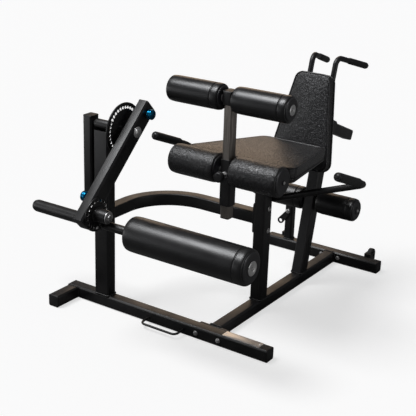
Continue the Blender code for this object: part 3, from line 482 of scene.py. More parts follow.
# %% A grid of points becomes a closed mesh
def as_piece(name, grids, material, body, smooth=40.0):
    """Turns grids of points (rows along the stack, columns round the outline) into one piece on a body.

    Columns always wrap round. A row whose points all meet is a pole. Doubles are merged and the faces
    turned outwards, and edges sharper than the smoothing angle stay crisp.
    """
    points, faces, first = [], [], 0
    for grid, wrap in grids:
        rows, columns = grid.shape[:2]
        at = first + np.arange(rows * columns).reshape(rows, columns)
        if wrap:
            at = np.concatenate([at, at[:1]])
        after = np.roll(at, -1, axis=1)
        faces.append(np.stack([at[:-1], after[:-1], after[1:], at[1:]], axis=-1).reshape(-1, 4))
        points.append(grid.reshape(-1, 3))
        first += rows * columns
    mesh = bpy.data.meshes.new(name)
    mesh.from_pydata(np.concatenate(points).tolist(), [], np.concatenate(faces).tolist())
    shape = bmesh.new()
    shape.from_mesh(mesh)
    bmesh.ops.remove_doubles(shape, verts=shape.verts, dist=2e-6)
    bmesh.ops.recalc_face_normals(shape, faces=shape.faces)
    shape.to_mesh(mesh)
    shape.free()
    return dressed(in_scene(name, mesh), material, body, smooth)


def dressed(made, material, body, smooth=40.0):
    """Gives a piece its finish and its body, and smooths all but its sharp edges."""
    made.data.materials.clear()
    made.data.materials.append(material)
    mesh = made.data
    mesh.polygons.foreach_set("use_smooth", np.ones(len(mesh.polygons), bool))
    mesh.set_sharp_from_angle(angle=math.radians(smooth))
    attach(made, body)
    return made


def unit(vector):
    """The vector divided by its length."""
    vector = np.array(vector, float)
    return vector / np.linalg.norm(vector)


def facing(point, along, lean=(0.0, 0.0, 1.0)):
    """A place whose Z runs along the direction, whose Y leans towards lean, and whose origin is the point."""
    along = unit(along)
    side = np.cross(np.array(lean, float), along)
    if np.linalg.norm(side) < 1e-6:
        side = np.cross([0.0, 1.0, 0.0], along)
    side = unit(side)
    place = np.eye(4)
    place[:3, 0], place[:3, 1], place[:3, 2], place[:3, 3] = side, np.cross(along, side), along, point
    return place


def eased(corners, radius, steps=4):
    """A line whose inner corners are curves: each is cut back evenly and joined by a parabola through it."""
    corners = np.array(corners, float)
    line = [corners[:1]]
    share = np.linspace(0.0, 1.0, steps + 1)[:, None]
    for before, at, after in zip(corners, corners[1:], corners[2:]):
        reach = min(radius, 0.45 * np.linalg.norm(before - at), 0.45 * np.linalg.norm(after - at))
        first, last = at + reach * unit(before - at), at + reach * unit(after - at)
        line.append((1 - share) ** 2 * first + 2 * share * (1 - share) * at + share**2 * last)
    line.append(corners[-1:])
    return np.concatenate(line)


def stack(outline, profile, place):
    """An outline carried up a profile: x and y are the outline times the profile's size, z its height."""
    sizes, heights = profile[:, 0], profile[:, 1]
    flat = sizes[:, None, None] * outline[None, :, :]
    tall = np.broadcast_to(heights[:, None, None], (*flat.shape[:2], 1))
    return (np.concatenate([flat, tall, np.ones_like(tall)], axis=-1) @ place.T)[..., :3]


def round_outline(sides=64):
    """A circle of radius one: the cosine and sine of each turn."""
    turns = np.linspace(0.0, 2 * math.pi, sides, endpoint=False)
    return np.stack([np.cos(turns), np.sin(turns)], axis=-1)


def hexagon_outline(sides=48):
    """A hexagon of half-width one: its radius is 1 / cos of the angle from the nearest flat's middle."""
    turns = np.linspace(0.0, 2 * math.pi, sides, endpoint=False)
    from_flat = (turns + math.pi / 6) % (math.pi / 3) - math.pi / 6
    return round_outline(sides) / np.cos(from_flat)[:, None]


def box_outline(width, height, corner, steps=5):
    """A box with round corners, anticlockwise from its right side: a quarter circle at each corner."""
    turns = np.radians(np.linspace(0.0, 90.0, steps + 1))
    arc = corner * np.stack([np.cos(turns), np.sin(turns)], axis=-1)
    quarter = []
    for turn, (x, y) in enumerate(((1, 1), (-1, 1), (-1, -1), (1, -1))):
        spin = np.array([[0, -1], [1, 0]]) if turn % 2 else np.eye(2)
        spin = spin * (-1 if turn > 1 else 1)
        quarter.append(arc @ spin.T + [x * (width / 2 - corner), y * (height / 2 - corner)])
    return np.concatenate(quarter)


def lathe(name, corners, place, material, body, ease=0.0012, sides=64):
    """Turns a line of (radius, height) corners, softened by the ease, about the place's Z."""
    grid = stack(round_outline(sides), eased(corners, ease), place)
    return as_piece(name, [(grid, False)], material, body)


def carry(section, path, sizes=None, lean=(0.0, 0.0, 1.0)):
    """Carries a cross-section along a path; at each point it faces along the path and leans as told."""
    path = np.array(path, float)
    ahead_of = np.gradient(path, axis=0)
    ahead_of /= np.linalg.norm(ahead_of, axis=1, keepdims=True)
    side = np.cross(np.broadcast_to(np.array(lean, float), path.shape), ahead_of)
    side /= np.linalg.norm(side, axis=1, keepdims=True)
    lift = np.cross(ahead_of, side)
    sizes = np.ones(len(path)) if sizes is None else sizes
    across = section[None, :, 0, None] * side[:, None] + section[None, :, 1, None] * lift[:, None]
    return path[:, None] + sizes[:, None, None] * across


def rounded_path(corners, radius, steps=14):
    """A path whose bends are arcs of the radius: each arc's points are blended about its centre."""
    corners = np.array(corners, float)
    path = [corners[:1]]
    share = np.linspace(0.0, 1.0, steps + 1)[:, None]
    for before, at, after in zip(corners, corners[1:], corners[2:]):
        back_to, on_to = unit(before - at), unit(after - at)
        half = math.acos(np.clip(back_to @ on_to, -1, 1)) / 2
        centre = at + unit(back_to + on_to) * radius / math.sin(half)
        first, last = (at + way * radius / math.tan(half) - centre for way in (back_to, on_to))
        opening = math.pi - 2 * half
        blend = (np.sin((1 - share) * opening) * first + np.sin(share * opening) * last) / math.sin(opening)
        path.append(centre + blend)
    path.append(corners[-1:])
    return np.concatenate(path)


def spaced_round(line, count=None, step=None):
    """Even distances round a closed line, the points at them, found by the way gone, and its length."""
    shut = np.concatenate([line, line[:1]])
    run = np.concatenate([[0], np.cumsum(np.linalg.norm(np.diff(shut, axis=0), axis=1))])
    even = np.linspace(0, run[-1], count or int(run[-1] / step), endpoint=False)
    columns = [np.interp(even, run, shut[:, axis]) for axis in range(shut.shape[1])]
    return even, np.stack(columns, axis=-1), run[-1]


def with_caps(path, radius, steps=6):
    """Adds a half-round cap at both ends of a path: points that run on while the size falls to nothing."""
    turns = np.linspace(0.0, math.pi / 2, steps + 1)[1:]
    sizes = np.cos(turns)
    sizes[-1] = 0.0
    reach = 0.5 * radius * np.sin(turns)[:, None]
    first = path[0] + reach * unit(path[0] - path[1])
    last = path[-1] + reach * unit(path[-1] - path[-2])
    whole = np.concatenate([first[::-1], path, last])
    return whole, np.concatenate([sizes[::-1], np.ones(len(path)), sizes])


def bent_rod(name, path, radius, material, body, lean=(0.0, 0.0, 1.0), sides=28):
    """A round rod along a path, with softly rounded ends."""
    whole, sizes = with_caps(path, radius)
    grid = carry(radius * round_outline(sides), whole, sizes, lean)
    return as_piece(name, [(grid, False)], material, body, 60)


def span(node):
    """A node's lowest and highest corner, and its middle, as arrays."""
    low, high = (np.array(corner, float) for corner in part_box(node))
    return low, high, (low + high) / 2


body_of = {node: body for body, nodes in frame["record"]["behaviour"]["bodies"].items() for node in nodes}
print("helpers ready;", len(body_of), "nodes have a body")

# %% [markdown]
# ## Square tubes
# On the real machine the frame is square steel tube with softly rounded edges. Each packed tube already has
# its size, cuts and bolt holes, so a merged copy of it gets a small bevel on every edge: the bevel is what
# catches the light along a painted tube.


# %% Bevelled copies of the tubes and plates
def softened(node, width, material, segments=3):
    """A merged copy of a node with flat faces made one, and a bevel on each edge."""
    mesh = bpy.data.objects[node].data.copy()
    mesh.name = node + "_finished"
    shape = bmesh.new()
    shape.from_mesh(mesh)
    bmesh.ops.remove_doubles(shape, verts=shape.verts, dist=1e-5)
    flat = math.radians(1.0)
    bmesh.ops.dissolve_limit(
        shape, angle_limit=flat, verts=shape.verts, edges=shape.edges, use_dissolve_boundaries=False
    )
    shape.to_mesh(mesh)
    shape.free()
    made = in_scene(node + "_finished", mesh)
    bevel = made.modifiers.new("soft_edges", "BEVEL")
    bevel.width = width
    bevel.segments = segments
    bevel.limit_method = "ANGLE"
    bevel.angle_limit = math.radians(25)
    bevel.use_clamp_overlap = True
    dressed(made, material, body_of[node], 50.0)
    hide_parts(node)
    return made


TUBES = (
    "front_crossbeam left_front_foot spine_beam rear_crossbeam lever_upright seat_post back_post seat_rail"
    " storage_post thigh_sleeve slide_sleeve slide_tube weight_arm roller_arm thigh_head"
).split()
for tube in TUBES:
    softened(tube, 0.0016, powder_coat)
softened("thigh_post", 0.0014, brushed_steel)
for plate in ("spine_flange", "link_plate", "storage_hook", "wheel_bracket_left", "wheel_bracket_right"):
    softened(plate, 0.0010, powder_coat, 2)
for board in ("seat_board", "back_board"):
    softened(board, 0.0015, edge_board, 2)
print("tubes and plates:", len(TUBES) + 8)

# %% [markdown]
# ## The bent link
# The link is one tube bent through a quarter turn. A bent tube is smooth all the way round, so it is a
# rounded square carried along its path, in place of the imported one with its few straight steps.

# %% The bent link tube
low, high, middle = span("link_tube")
upright_x = span("lever_upright")[2][0]
post_y = 0.350
LINK_BEND = 0.220
link_corners = [(upright_x, low[1], middle[2]), (upright_x, post_y, middle[2]), (high[0], post_y, middle[2])]
link_path = rounded_path(link_corners, LINK_BEND, 40)
link_section = box_outline(0.050, 0.050, 0.0065)
ends = np.concatenate([link_path[:1], link_path, link_path[-1:]])
shut = np.ones(len(ends))
shut[[0, -1]] = 0.0
link_grid = carry(link_section, ends, shut)
link = as_piece("bent_link", [(link_grid, False)], powder_coat, "frame", 50)
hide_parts("link_tube")
print("link points", len(link.data.vertices))

# %% [markdown]
# ## Foam rollers
# A foam roller is a thick sleeve with rounded ends, and a ring pressed in near its outer end where the skin
# is glued. A grey cap closes the outer end, and a plain disc and a bolt hold it. All are turned shapes.


# %% Rollers with their end caps
def foam_roller(node, radius, skin, ring_from_end=0.030, disc_size=0.40, disc_finish=None):
    """A roller from its rounded left end to its right end, which has the ring, the cap and the bolt."""
    low, high, middle = span(node)
    length = high[0] - low[0]
    place = facing((low[0], middle[1], middle[2]), (1, 0, 0))
    edge, groove = length - ring_from_end, 0.0024
    sleeve = [(0.0, 0.002), (radius * 0.50, 0.001), (radius * 0.80, 0.0), (radius * 0.96, 0.005)]
    sleeve += [(radius * 0.995, 0.020), (radius, 0.040)]
    if ring_from_end:
        sleeve += [(radius, edge - 0.003), (radius - groove, edge), (radius, edge + 0.003)]
    sleeve += [(radius, length - 0.012), (radius * 0.955, length - 0.002)]
    sleeve += [(radius * 0.80, length), (0.0, length - 0.001)]
    made = lathe(node + "_foam", sleeve, place, skin, body_of[node], 0.010, 96)
    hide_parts(node)
    end = facing((high[0] - 0.001, middle[1], middle[2]), (1, 0, 0))
    cap = [(0.0, 0.0), (radius * 0.84, 0.0), (radius * 0.84, 0.0035), (radius * 0.74, 0.0055), (0.0, 0.0055)]
    lathe(node + "_end_cap", cap, end, moulded_grey, body_of[node], 0.002, 72)
    rim, finish = radius * disc_size, disc_finish or zinc_plate
    disc = [(0.0, 0.0045), (rim, 0.0045), (rim, 0.0072), (rim - 0.0015, 0.0080), (rim * 0.55, 0.0080)]
    disc += [(rim * 0.50, 0.0072), (0.0, 0.0072)]
    lathe(node + "_end_disc", disc, end, finish, body_of[node], 0.0006, 56)
    head = eased([(0.0, 0.007), (0.0055, 0.007), (0.0055, 0.0100), (0.0046, 0.0110), (0.0, 0.0110)], 0.0005)
    grid = stack(hexagon_outline(), head, end)
    as_piece(node + "_end_bolt", [(grid, False)], zinc_plate, body_of[node], 30)


SIDES = ((-1, "left"), (1, "right"))
for side, word in SIDES:
    foam_roller("thigh_roller_" + word, 0.048, foam_skin)
    foam_roller("knee_roller_" + word, 0.056, seat_leather, 0, 0.16, moulded_black)
    foam_roller("rear_roller_" + word, 0.048, foam_skin, 0.030, 0.34, moulded_grey)
foam_roller("main_roller", 0.065, foam_skin, 0.036)
print("rollers made: 7")

# %% [markdown]
# ## Turned metal
# Axles, the pivot shaft, the hub and the weight peg all come off a lathe, so each is a line of radius and
# height turned about its axis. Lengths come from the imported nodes, so that every shoulder lands where the
# plates and tubes expect it.


# %% Axles, shaft, hub and peg
def from_left(node):
    """A place at a node's left end, with Z along +X, and the node's length."""
    low, high, middle = span(node)
    return facing((low[0], middle[1], middle[2]), (1, 0, 0)), high[0] - low[0]


def turned_for(node, corners, place, material, ease=0.0010, sides=56):
    """Turns a line of corners into the piece that stands for a node."""
    made = lathe(node + "_turned", corners, place, material, body_of[node], ease, sides)
    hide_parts(node)
    return made


for axle in ("thigh_axle", "knee_axle_left", "knee_axle_right", "rear_axle"):
    place, long = from_left(axle)
    turned_for(axle, [(0, 0), (0.010, 0), (0.010, long), (0, long)], place, zinc_plate)

place, long = from_left("pivot_shaft")
shaft = [(0, 0), (0.0098, 0), (0.0098, long - 0.0085), (0.0215, long - 0.0085), (0.0215, long - 0.0055)]
shaft += [(0.0160, long - 0.005), (0.0160, long - 0.003), (0.0110, long), (0, long)]
turned_for("pivot_shaft", shaft, place, zinc_plate)

place, long = from_left("pivot_bushing")
bushing = eased([(0.0101, 0), (0.019, 0), (0.019, 0.070), (0.0101, 0.070)], 0.0015)
bushing_grid = stack(round_outline(64), np.concatenate([bushing, bushing[:1]]), place)
ring = as_piece("pivot_bushing_turned", [(bushing_grid, False)], powder_coat, "frame")
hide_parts("pivot_bushing")

hub_place, long = from_left("crank_hub")
hub = [(0, 0), (0.0260, 0), (0.0260, 0.004), (0.0250, 0.006), (0.0250, long - 0.003)]
hub += [(0.0235, long), (0, long)]
turned_for("crank_hub", hub, hub_place, powder_coat, 0.0015)

bolt_high, bolt_middle = span("hub_bolt")[1:]
bolt_place = facing((bolt_high[0] - 0.0102, bolt_middle[1], bolt_middle[2]), (1, 0, 0))
ring_line = [(0, 0), (0.023, 0), (0.023, 0.0022), (0.021, 0.0030), (0, 0.0030)]
ring = lathe("hub_bolt_washer", ring_line, bolt_place, zinc_plate, "roller_arm", 0.0005, 56)
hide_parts("hub_bolt")
head = eased([(0, 0.003), (0.0105, 0.003), (0.0105, 0.0088), (0.0092, 0.0102), (0, 0.0102)], 0.0006)
head_grid = stack(hexagon_outline(), head, bolt_place)
as_piece("hub_bolt_head", [(head_grid, False)], zinc_plate, "roller_arm", 30)

axle_place, whole = from_left("roller_axle")
long = span("main_roller")[0][0] - span("roller_axle")[0][0] - 0.003
axle = [(0, 0), (0.0170, 0), (0.0170, long), (0.012, long), (0.012, whole - 0.004), (0, whole - 0.004)]
turned_for("roller_axle", axle, axle_place, powder_coat, 0.0012)

low, high, middle = span("weight_peg")
peg_place = facing((high[0], middle[1], middle[2]), (-1, 0, 0))
long = high[0] - low[0]
peg = [(0, 0), (0.032, 0), (0.032, 0.006), (0.025, 0.0065), (0.025, long - 0.016)]
peg += [(0.0195, long - 0.003), (0.012, long), (0, long)]
turned_for("weight_peg", peg, peg_place, powder_coat, 0.006, 72)
print("turned metal in place")

# %% [markdown]
# ## Pull knobs
# A pull knob is anodised or moulded, with a waist for two fingers, and it draws a sprung pin out of its
# hole. The knob moves with the pin, and the hexagon barrel that it slides in stays on the tube.


# %% Pull knobs and their barrels
def pull_knob(node, outward, material, start):
    """A waisted knob on its thin plunger, and the fixed barrel, which starts that far from the pin's nose."""
    low, high, middle = span(node)
    outward = unit(outward)
    reach = np.abs(outward) @ (high - low)
    tip = middle - outward * reach / 2
    place = facing(tip, outward)
    knob = reach - 0.026
    corners = [(0.0, 0.0), (0.0040, 0.0), (0.0046, 0.0015), (0.0046, knob), (0.0135, knob)]
    corners += [(0.0165, knob + 0.003), (0.0192, knob + 0.007), (0.0192, knob + 0.011)]
    corners += [(0.0180, knob + 0.0125), (0.0180, knob + 0.0145), (0.0192, knob + 0.016)]
    corners += [(0.0192, knob + 0.022), (0.0160, knob + 0.0252), (0.0, knob + 0.026)]
    made = lathe(node + "_knob", corners, place, material, body_of[node], 0.0015, 64)
    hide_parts(node)
    barrel = [(0.0052, start), (0.0110, start), (0.0110, start + 0.005), (0.0092, start + 0.006)]
    barrel += [(0.0092, knob - 0.0015), (0.0052, knob - 0.0015), (0.0052, start)]
    grid = stack(hexagon_outline(), np.array(barrel), place)
    return as_piece(node + "_barrel", [(grid, False)], zinc_plate, parent_of[body_of[node]], 30)


joints = {joint["name"]: joint for joint in frame["record"]["behaviour"]["joints"]}
parent_of = {joint["child"]: joint["parent"] for joint in joints.values()}
arm_low, arm_high, arm_middle = span("roller_arm")
pull_knob("arm_pin", (1, 0, 0), blue_anodised, arm_high[0] - span("arm_pin")[0][0] + 0.0003)
pull_knob("crank_pin", (-1, 0, 0), blue_anodised, span("crank_pin")[1][0] - arm_low[0] + 0.0003)
sleeve_front = span("thigh_sleeve")[0][1]
from_sleeve = span("thigh_pin")[1][1] - sleeve_front + 0.0003
barrel = pull_knob("thigh_pin", (0, -1, 0), moulded_black, from_sleeve)
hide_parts("thigh_pin_barrel")
sleeve_side = span("slide_sleeve")[0][0]
from_sleeve = span("slide_pin")[1][0] - sleeve_side + 0.0003
pull_knob("slide_pin", (-1, 0, 0), moulded_black, from_sleeve)
print("pull knobs made: 4")

# %% [markdown]
# ## Transport wheels
# Two small wheels behind the rear crossbeam carry the machine when its front is lifted. A wheel is turned
# from one line: the stub axle, the dished side, the crowned tread, and the same again back to the axle.

# %% Transport wheels
for side, word in SIDES:
    low, high, middle = span("transport_wheel_" + word)
    place = facing((middle[0] - 0.018, middle[1], middle[2]), (1, 0, 0))
    tread = [(0, 0), (0.0050, 0), (0.0050, 0.0082), (0.015, 0.0082), (0.017, 0.0100), (0.022, 0.0100)]
    tread += [(0.0242, 0.0080), (0.0278, 0.0095), (0.0280, 0.018), (0.0278, 0.0265), (0.0242, 0.0280)]
    tread += [(0.022, 0.0260), (0.017, 0.0260), (0.015, 0.0278), (0.0050, 0.0278)]
    tread += [(0.0050, 0.036), (0, 0.036)]
    turned_for("transport_wheel_" + word, tread, place, wheel_rubber, 0.0012, 64)
print("wheels made: 2")

# %% [markdown]
# ## Plates full of holes
# The start plate and the roller's own plate are drilled in a ring, so that a pin can hold them every few
# degrees. A flat outline with round holes is what a filled curve is for: it is extruded, made a mesh and
# then set in its place.


# %% The two drilled plates
def hole_ring(count, circle, first):
    """The middles of a ring of holes: the cosine and sine of even turns, times the circle's radius."""
    turns = first + np.arange(count) * 2 * math.pi / count
    return circle * np.stack([np.cos(turns), np.sin(turns)], axis=-1)


HOLE_RADIUS = 0.0055
PLATE_EDGE = 0.0006


def drilled_plate(node, radius, holes, dropped=()):
    """A disc along X with round holes, whose edges are slightly rounded and whose walls are bare metal."""
    low, high, middle = span(node)
    curve = bpy.data.curves.new(node + "_drilled", "CURVE")
    curve.dimensions = "2D"
    curve.fill_mode = "BOTH"
    curve.extrude = (high[0] - low[0]) / 2 - PLATE_EDGE
    curve.bevel_depth = PLATE_EDGE
    curve.bevel_resolution = 1
    rings = [radius * round_outline(120)]
    rings += [hole + HOLE_RADIUS * round_outline(20) for at, hole in enumerate(holes) if at not in dropped]
    for ring_points in rings:
        spline = curve.splines.new("POLY")
        spline.points.add(len(ring_points) - 1)
        flat = np.pad(ring_points, ((0, 0), (0, 2)))
        flat[:, 3] = 1.0
        spline.points.foreach_set("co", flat.ravel())
        spline.use_cyclic_u = True
    curve.offset = -PLATE_EDGE
    drawn = in_scene(node + "_outline", curve)
    bpy.context.view_layer.update()
    mesh = bpy.data.meshes.new_from_object(drawn.evaluated_get(bpy.context.evaluated_depsgraph_get()))
    bpy.data.objects.remove(drawn)
    shape = bmesh.new()
    shape.from_mesh(mesh)
    bmesh.ops.remove_doubles(shape, verts=shape.verts, dist=1e-6)
    bmesh.ops.recalc_face_normals(shape, faces=shape.faces)
    shape.transform(Matrix(((0, 0, 1, middle[0]), (1, 0, 0, middle[1]), (0, 1, 0, middle[2]), (0, 0, 0, 1))))
    shape.to_mesh(mesh)
    shape.free()
    made = in_scene(node + "_drilled", mesh)
    dressed(made, powder_coat, body_of[node], 30)
    mesh.materials.append(zinc_plate)
    middles = np.empty(len(mesh.polygons) * 3)
    mesh.polygons.foreach_get("center", middles)
    flat_middles = middles.reshape(-1, 3)[:, 1:] - middle[1:]
    away = np.linalg.norm(flat_middles[:, None] - holes[None], axis=2).min(axis=1)
    mesh.polygons.foreach_set("material_index", (away < HOLE_RADIUS + 0.0007).astype(np.int32))
    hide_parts(node)


pivot = np.array(joints["lever_swing"]["pos_m"], float)
arm_pin_at = span("arm_pin")[2]
start_turn = math.atan2(arm_pin_at[2] - pivot[2], arm_pin_at[1] - pivot[1])
drilled_plate("start_disc", 0.101, hole_ring(36, 0.083, start_turn))

hub_at = np.array(joints["roller_crank_angle"]["pos_m"], float)
roller_at = np.array(joints["main_roller_spin"]["pos_m"], float) - hub_at
pin_from_hub = span("crank_pin")[2][1:] - hub_at[1:]
crank_holes = hole_ring(18, math.hypot(*pin_from_hub), math.atan2(pin_from_hub[1], pin_from_hub[0]))
behind_axle = np.nonzero(np.linalg.norm(crank_holes - roller_at[1:], axis=1) < 0.0225)[0]
drilled_plate("crank_disc", 0.063, crank_holes, behind_axle)
print("drilled plates made; holes left out behind the axle:", list(behind_axle))

# %% [markdown]
# ## Handles
# The two side handles are one bent tube with a soft grip at each end. The handles behind the back rest and
# the loop that lifts the front are bent rods. Each is a circle carried along the path its bends make.

# %% Side handles, grips, rear handles and the lifting loop
HANDLE_RADIUS = 0.0125
tube_low, tube_high = span("side_handle_tube")[:2]
handle_y = tube_high[1] - HANDLE_RADIUS
tip = np.array([0.393, 0.163, 0.688])
bend = np.array([0.397, handle_y, 0.602])
foot = np.array([0.022, handle_y, tube_low[2] + HANDLE_RADIUS])
mirror = np.array([-1.0, 1.0, 1.0])
handle_path = rounded_path([tip, bend, foot, foot * mirror, bend * mirror, tip * mirror], 0.030)
handle = bent_rod(
    "side_handle_bar", handle_path, HANDLE_RADIUS, powder_coat, "frame", (0.0, 0.3, 1.0)
)
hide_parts("side_handle_tube")
for side, word in SIDES:
    out = np.array([side, 1, 1])
    along = unit((bend - tip) * out)
    place = facing(tip * out - along * 0.004, along, (0, 1, 0.4))
    length = 0.186
    corners = [(0, 0), (HANDLE_RADIUS, 0.0), (0.0160, 0.004), (0.0165, 0.012), (0.0165, length - 0.006)]
    corners += [(0.0130, length), (0, length)]
    grip = lathe("handle_grip_" + word + "_foam", corners, place, hand_grip, "frame", 0.0008, 48)
    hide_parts("handle_grip_" + word)

lean_back = math.radians(15.5)
pad_up = np.array([0, math.sin(lean_back), math.cos(lean_back)])
pad_back = np.array([0, math.cos(lean_back), -math.sin(lean_back)])
pad_face = np.array([0.0, 0.595, 0.600])
REAR_RADIUS = 0.011
PAD_AND_BOARD = 0.048 + 0.012 + 0.0009
for side, word in SIDES:
    behind = pad_face + pad_back * (PAD_AND_BOARD + REAR_RADIUS) + np.array([side * 0.053, 0, 0])
    top, end = behind + pad_up * 0.395, np.array([side * 0.090, 0.966, 0.902])
    rear_path = rounded_path([behind + pad_up * 0.150, top, end], 0.030)
    name = "top_handle_" + word
    rear = bent_rod(name + "_bar", rear_path, REAR_RADIUS, powder_coat, "backrest", (1, 0, 0))
    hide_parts(name)
    away = unit(end - top)
    sleeve = [(0, 0), (0.0112, 0), (0.0132, 0.010), (0.0134, 0.126), (0.0105, 0.1335), (0, 0.1340)]
    grip_place = facing(end - away * 0.128, away)
    lathe(name + "_grip", sleeve, grip_place, hand_grip, "backrest", 0.0015, 40)

low, high, middle = span("lift_handle")
loop = [(low[0] + 0.0045, high[1], 0.022), (low[0] + 0.0045, low[1] + 0.0045, 0.020)]
loop += [(high[0] - 0.0045, low[1] + 0.0045, 0.020), (high[0] - 0.0045, high[1], 0.022)]
loop_path = rounded_path(loop, 0.020)
lifter = bent_rod("lift_handle_bar", loop_path, 0.0045, powder_coat, "frame", sides=20)
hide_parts("lift_handle")
print("handles made")

# %% [markdown]
# ## The padded seat and back rest
# Each pad is foam on a board, covered in grained synthetic leather, with piping along both edges of its side
# wall. The form starts as an outline carried up a crowned profile, slightly small. It is then blown up as
# cloth, held still along its two seams, so that the panels swell between them as stuffing makes them do.


# %% A pad's outline and form
def pad_outline(half_start, half_end, start, end, corner, count=200):
    """A four-sided outline, narrower at its end, with arcs at its corners and points spaced evenly."""
    corners = [(0, start), (half_start, start), (half_end, end)]
    corners += [(-half_end, end), (-half_start, start), (0, start)]
    flat = np.array([(x, y, 0.0) for x, y in corners])
    return spaced_round(rounded_path(flat, corner, 12)[:-1, :2], count)[1]


def place_from(origin, x_axis, y_axis, z_axis):
    """A place with the given axes and origin."""
    place = np.eye(4)
    place[:3, 0], place[:3, 1], place[:3, 2], place[:3, 3] = x_axis, y_axis, z_axis, origin
    return place


def pad_form(name, outline, thick, crown, place, body):
    """The outline shrunk towards its middle as it goes up, over and across: a closed crowned pad."""
    centre = outline.mean(axis=0)
    across = np.linspace(0.0, 1.0, 14)
    under = np.stack([across * 0.975, np.zeros(14)], axis=1)
    wall = [[0.988, 0.002], [0.996, 0.006], [1.0, thick * 0.3], [1.003, thick * 0.5], [1.0, thick * 0.7]]
    wall += [[0.996, thick - 0.006], [0.988, thick - 0.002]]
    back = across[::-1]
    over = np.stack([back * 0.975, thick + crown * (1 - back**2.6)], axis=1)
    profile = np.concatenate([under, wall, over])
    grid = stack(outline - centre, profile, place @ np.array(Matrix.Translation((*centre, 0))))
    return as_piece(name, [(grid, False)], seat_leather, body, 80)


def swollen(piece, seam, most, pressure=4.0):
    """Blows the piece up as cloth with its seams held, lets no point move more than most, then smooths it."""
    remesh = piece.modifiers.new("even_mesh", "REMESH")
    remesh.mode = "VOXEL"
    remesh.voxel_size = 0.005
    graph = bpy.context.evaluated_depsgraph_get()
    mesh = bpy.data.meshes.new_from_object(piece.evaluated_get(graph))
    piece.modifiers.clear()
    mesh.materials.clear()
    mesh.materials.append(seat_leather)
    piece.data = mesh
    points = np.empty(len(mesh.vertices) * 3)
    mesh.vertices.foreach_get("co", points)
    points = points.reshape(-1, 3)
    away = np.full(len(points), 1.0)
    for block in np.array_split(seam, 8):
        away = np.minimum(away, np.linalg.norm(points[:, None] - block[None], axis=2).min(axis=1))
    held = piece.vertex_groups.new(name="seams")
    held.add(np.nonzero(away < 0.007)[0].tolist(), 1.0, "REPLACE")
    cloth = piece.modifiers.new("stuffing", "CLOTH")
    cloth.settings.use_pressure = True
    cloth.settings.uniform_pressure_force = pressure
    cloth.settings.vertex_group_mass = "seams"
    cloth.settings.effector_weights.gravity = 0.0
    cloth.settings.quality = 4
    cloth.point_cache.frame_start, cloth.point_cache.frame_end = 1, 20
    for step in range(1, 21):
        bpy.context.scene.frame_set(step)
    graph = bpy.context.evaluated_depsgraph_get()
    blown = np.empty(len(mesh.vertices) * 3)
    piece.evaluated_get(graph).data.vertices.foreach_get("co", blown)
    moved = blown.reshape(-1, 3) - points
    size = np.linalg.norm(moved, axis=1, keepdims=True)
    points = points + moved * np.minimum(1.0, most / np.maximum(size, 1e-9))
    piece.modifiers.clear()
    mesh.vertices.foreach_set("co", points.ravel())
    mesh.update()
    bpy.context.scene.frame_set(1)
    mesh.polygons.foreach_set("use_smooth", np.ones(len(mesh.polygons), bool))
    smooth = piece.modifiers.new("finer", "SUBSURF")
    smooth.levels = smooth.render_levels = 1
    print(piece.name, "swelled by up to", round(float(size.max()), 4), "m")


def seam_points(outline, size, height, place):
    """The outline at one size and height, where the pad's panels are sewn together."""
    centre = outline.mean(axis=0)
    there = place @ np.array(Matrix.Translation((*centre, 0)))
    return stack(outline - centre, np.array([[size, height]]), there)[0]


def piping(name, ring_points, body, up):
    """A thin cord sewn in along a seam: a circle carried round the closed seam line."""
    wrapped = np.concatenate([ring_points[-2:], ring_points, ring_points[:2]])
    grid = carry(0.0033 * round_outline(12), wrapped, None, up)[2:-2]
    return as_piece(name, [(grid, True)], piping_leather, body, 80)


def padded_piece(node, name, outline, thick, crown, place, body, most):
    """A pad that stands for a node: its form, swollen, and piping on both seams."""
    piece = pad_form(name, outline, thick, crown, place, body)
    edges = [seam_points(outline, 0.990, height, place) for height in (0.003, thick - 0.003)]
    swollen(piece, np.concatenate(edges), most)
    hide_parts(node)
    for edge, word in zip(edges, ("lower", "upper")):
        from_middle = edge - edge.mean(axis=0)
        outward = 0.0012 * from_middle / np.linalg.norm(from_middle, axis=1)[:, None]
        piping(name + "_piping_" + word, edge + outward, body, place[:3, 2])


# %% [markdown]
# ## The seat and the back rest
# The seat slopes up a little towards the knees and narrows to the back; the back rest leans and narrows to
# the top. Each is one outline in its own plane, set on its board. The forms start 2 mm thin, and swelling
# brings them to size.

# %% The seat
PAD_THICK = 0.046
MOST_SWELL = 0.008
seat_tilt = math.radians(5.4)
seat_along = np.array([0, math.cos(seat_tilt), -math.sin(seat_tilt)])
seat_up = np.array([0, math.sin(seat_tilt), math.cos(seat_tilt)])
seat_length = (0.570 - 0.135) / math.cos(seat_tilt)
seat_shape = pad_outline(0.234, 0.139, 0.003, seat_length - 0.003, 0.036)
seat_base = np.array([0, 0.135, 0.690]) - seat_up * 0.0475
seat_place = place_from(seat_base, (1, 0, 0), seat_along, seat_up)
padded_piece(
    "seat_cushion", "seat_pad", seat_shape, PAD_THICK, 0.008, seat_place, "frame", MOST_SWELL
)

# %% The back rest
back_shape = pad_outline(0.136, 0.074, -0.062, 0.317, 0.033)
back_place = place_from(pad_face + pad_back * 0.0475, np.cross(pad_up, -pad_back), pad_up, -pad_back)
padded_piece(
    "back_pad", "back_rest_pad", back_shape, PAD_THICK, 0.009, back_place, "backrest", MOST_SWELL
)
print("pads made: 2, each with two rings of piping")

# %% [markdown]
# ## End plugs
# Every open tube end is closed with a black plastic plug, which domes a little and sits on the tube's rim.
# Most tubes lie along an axis, so a table of tube, axis and end places their plugs; three slope and are
# placed along their own direction.


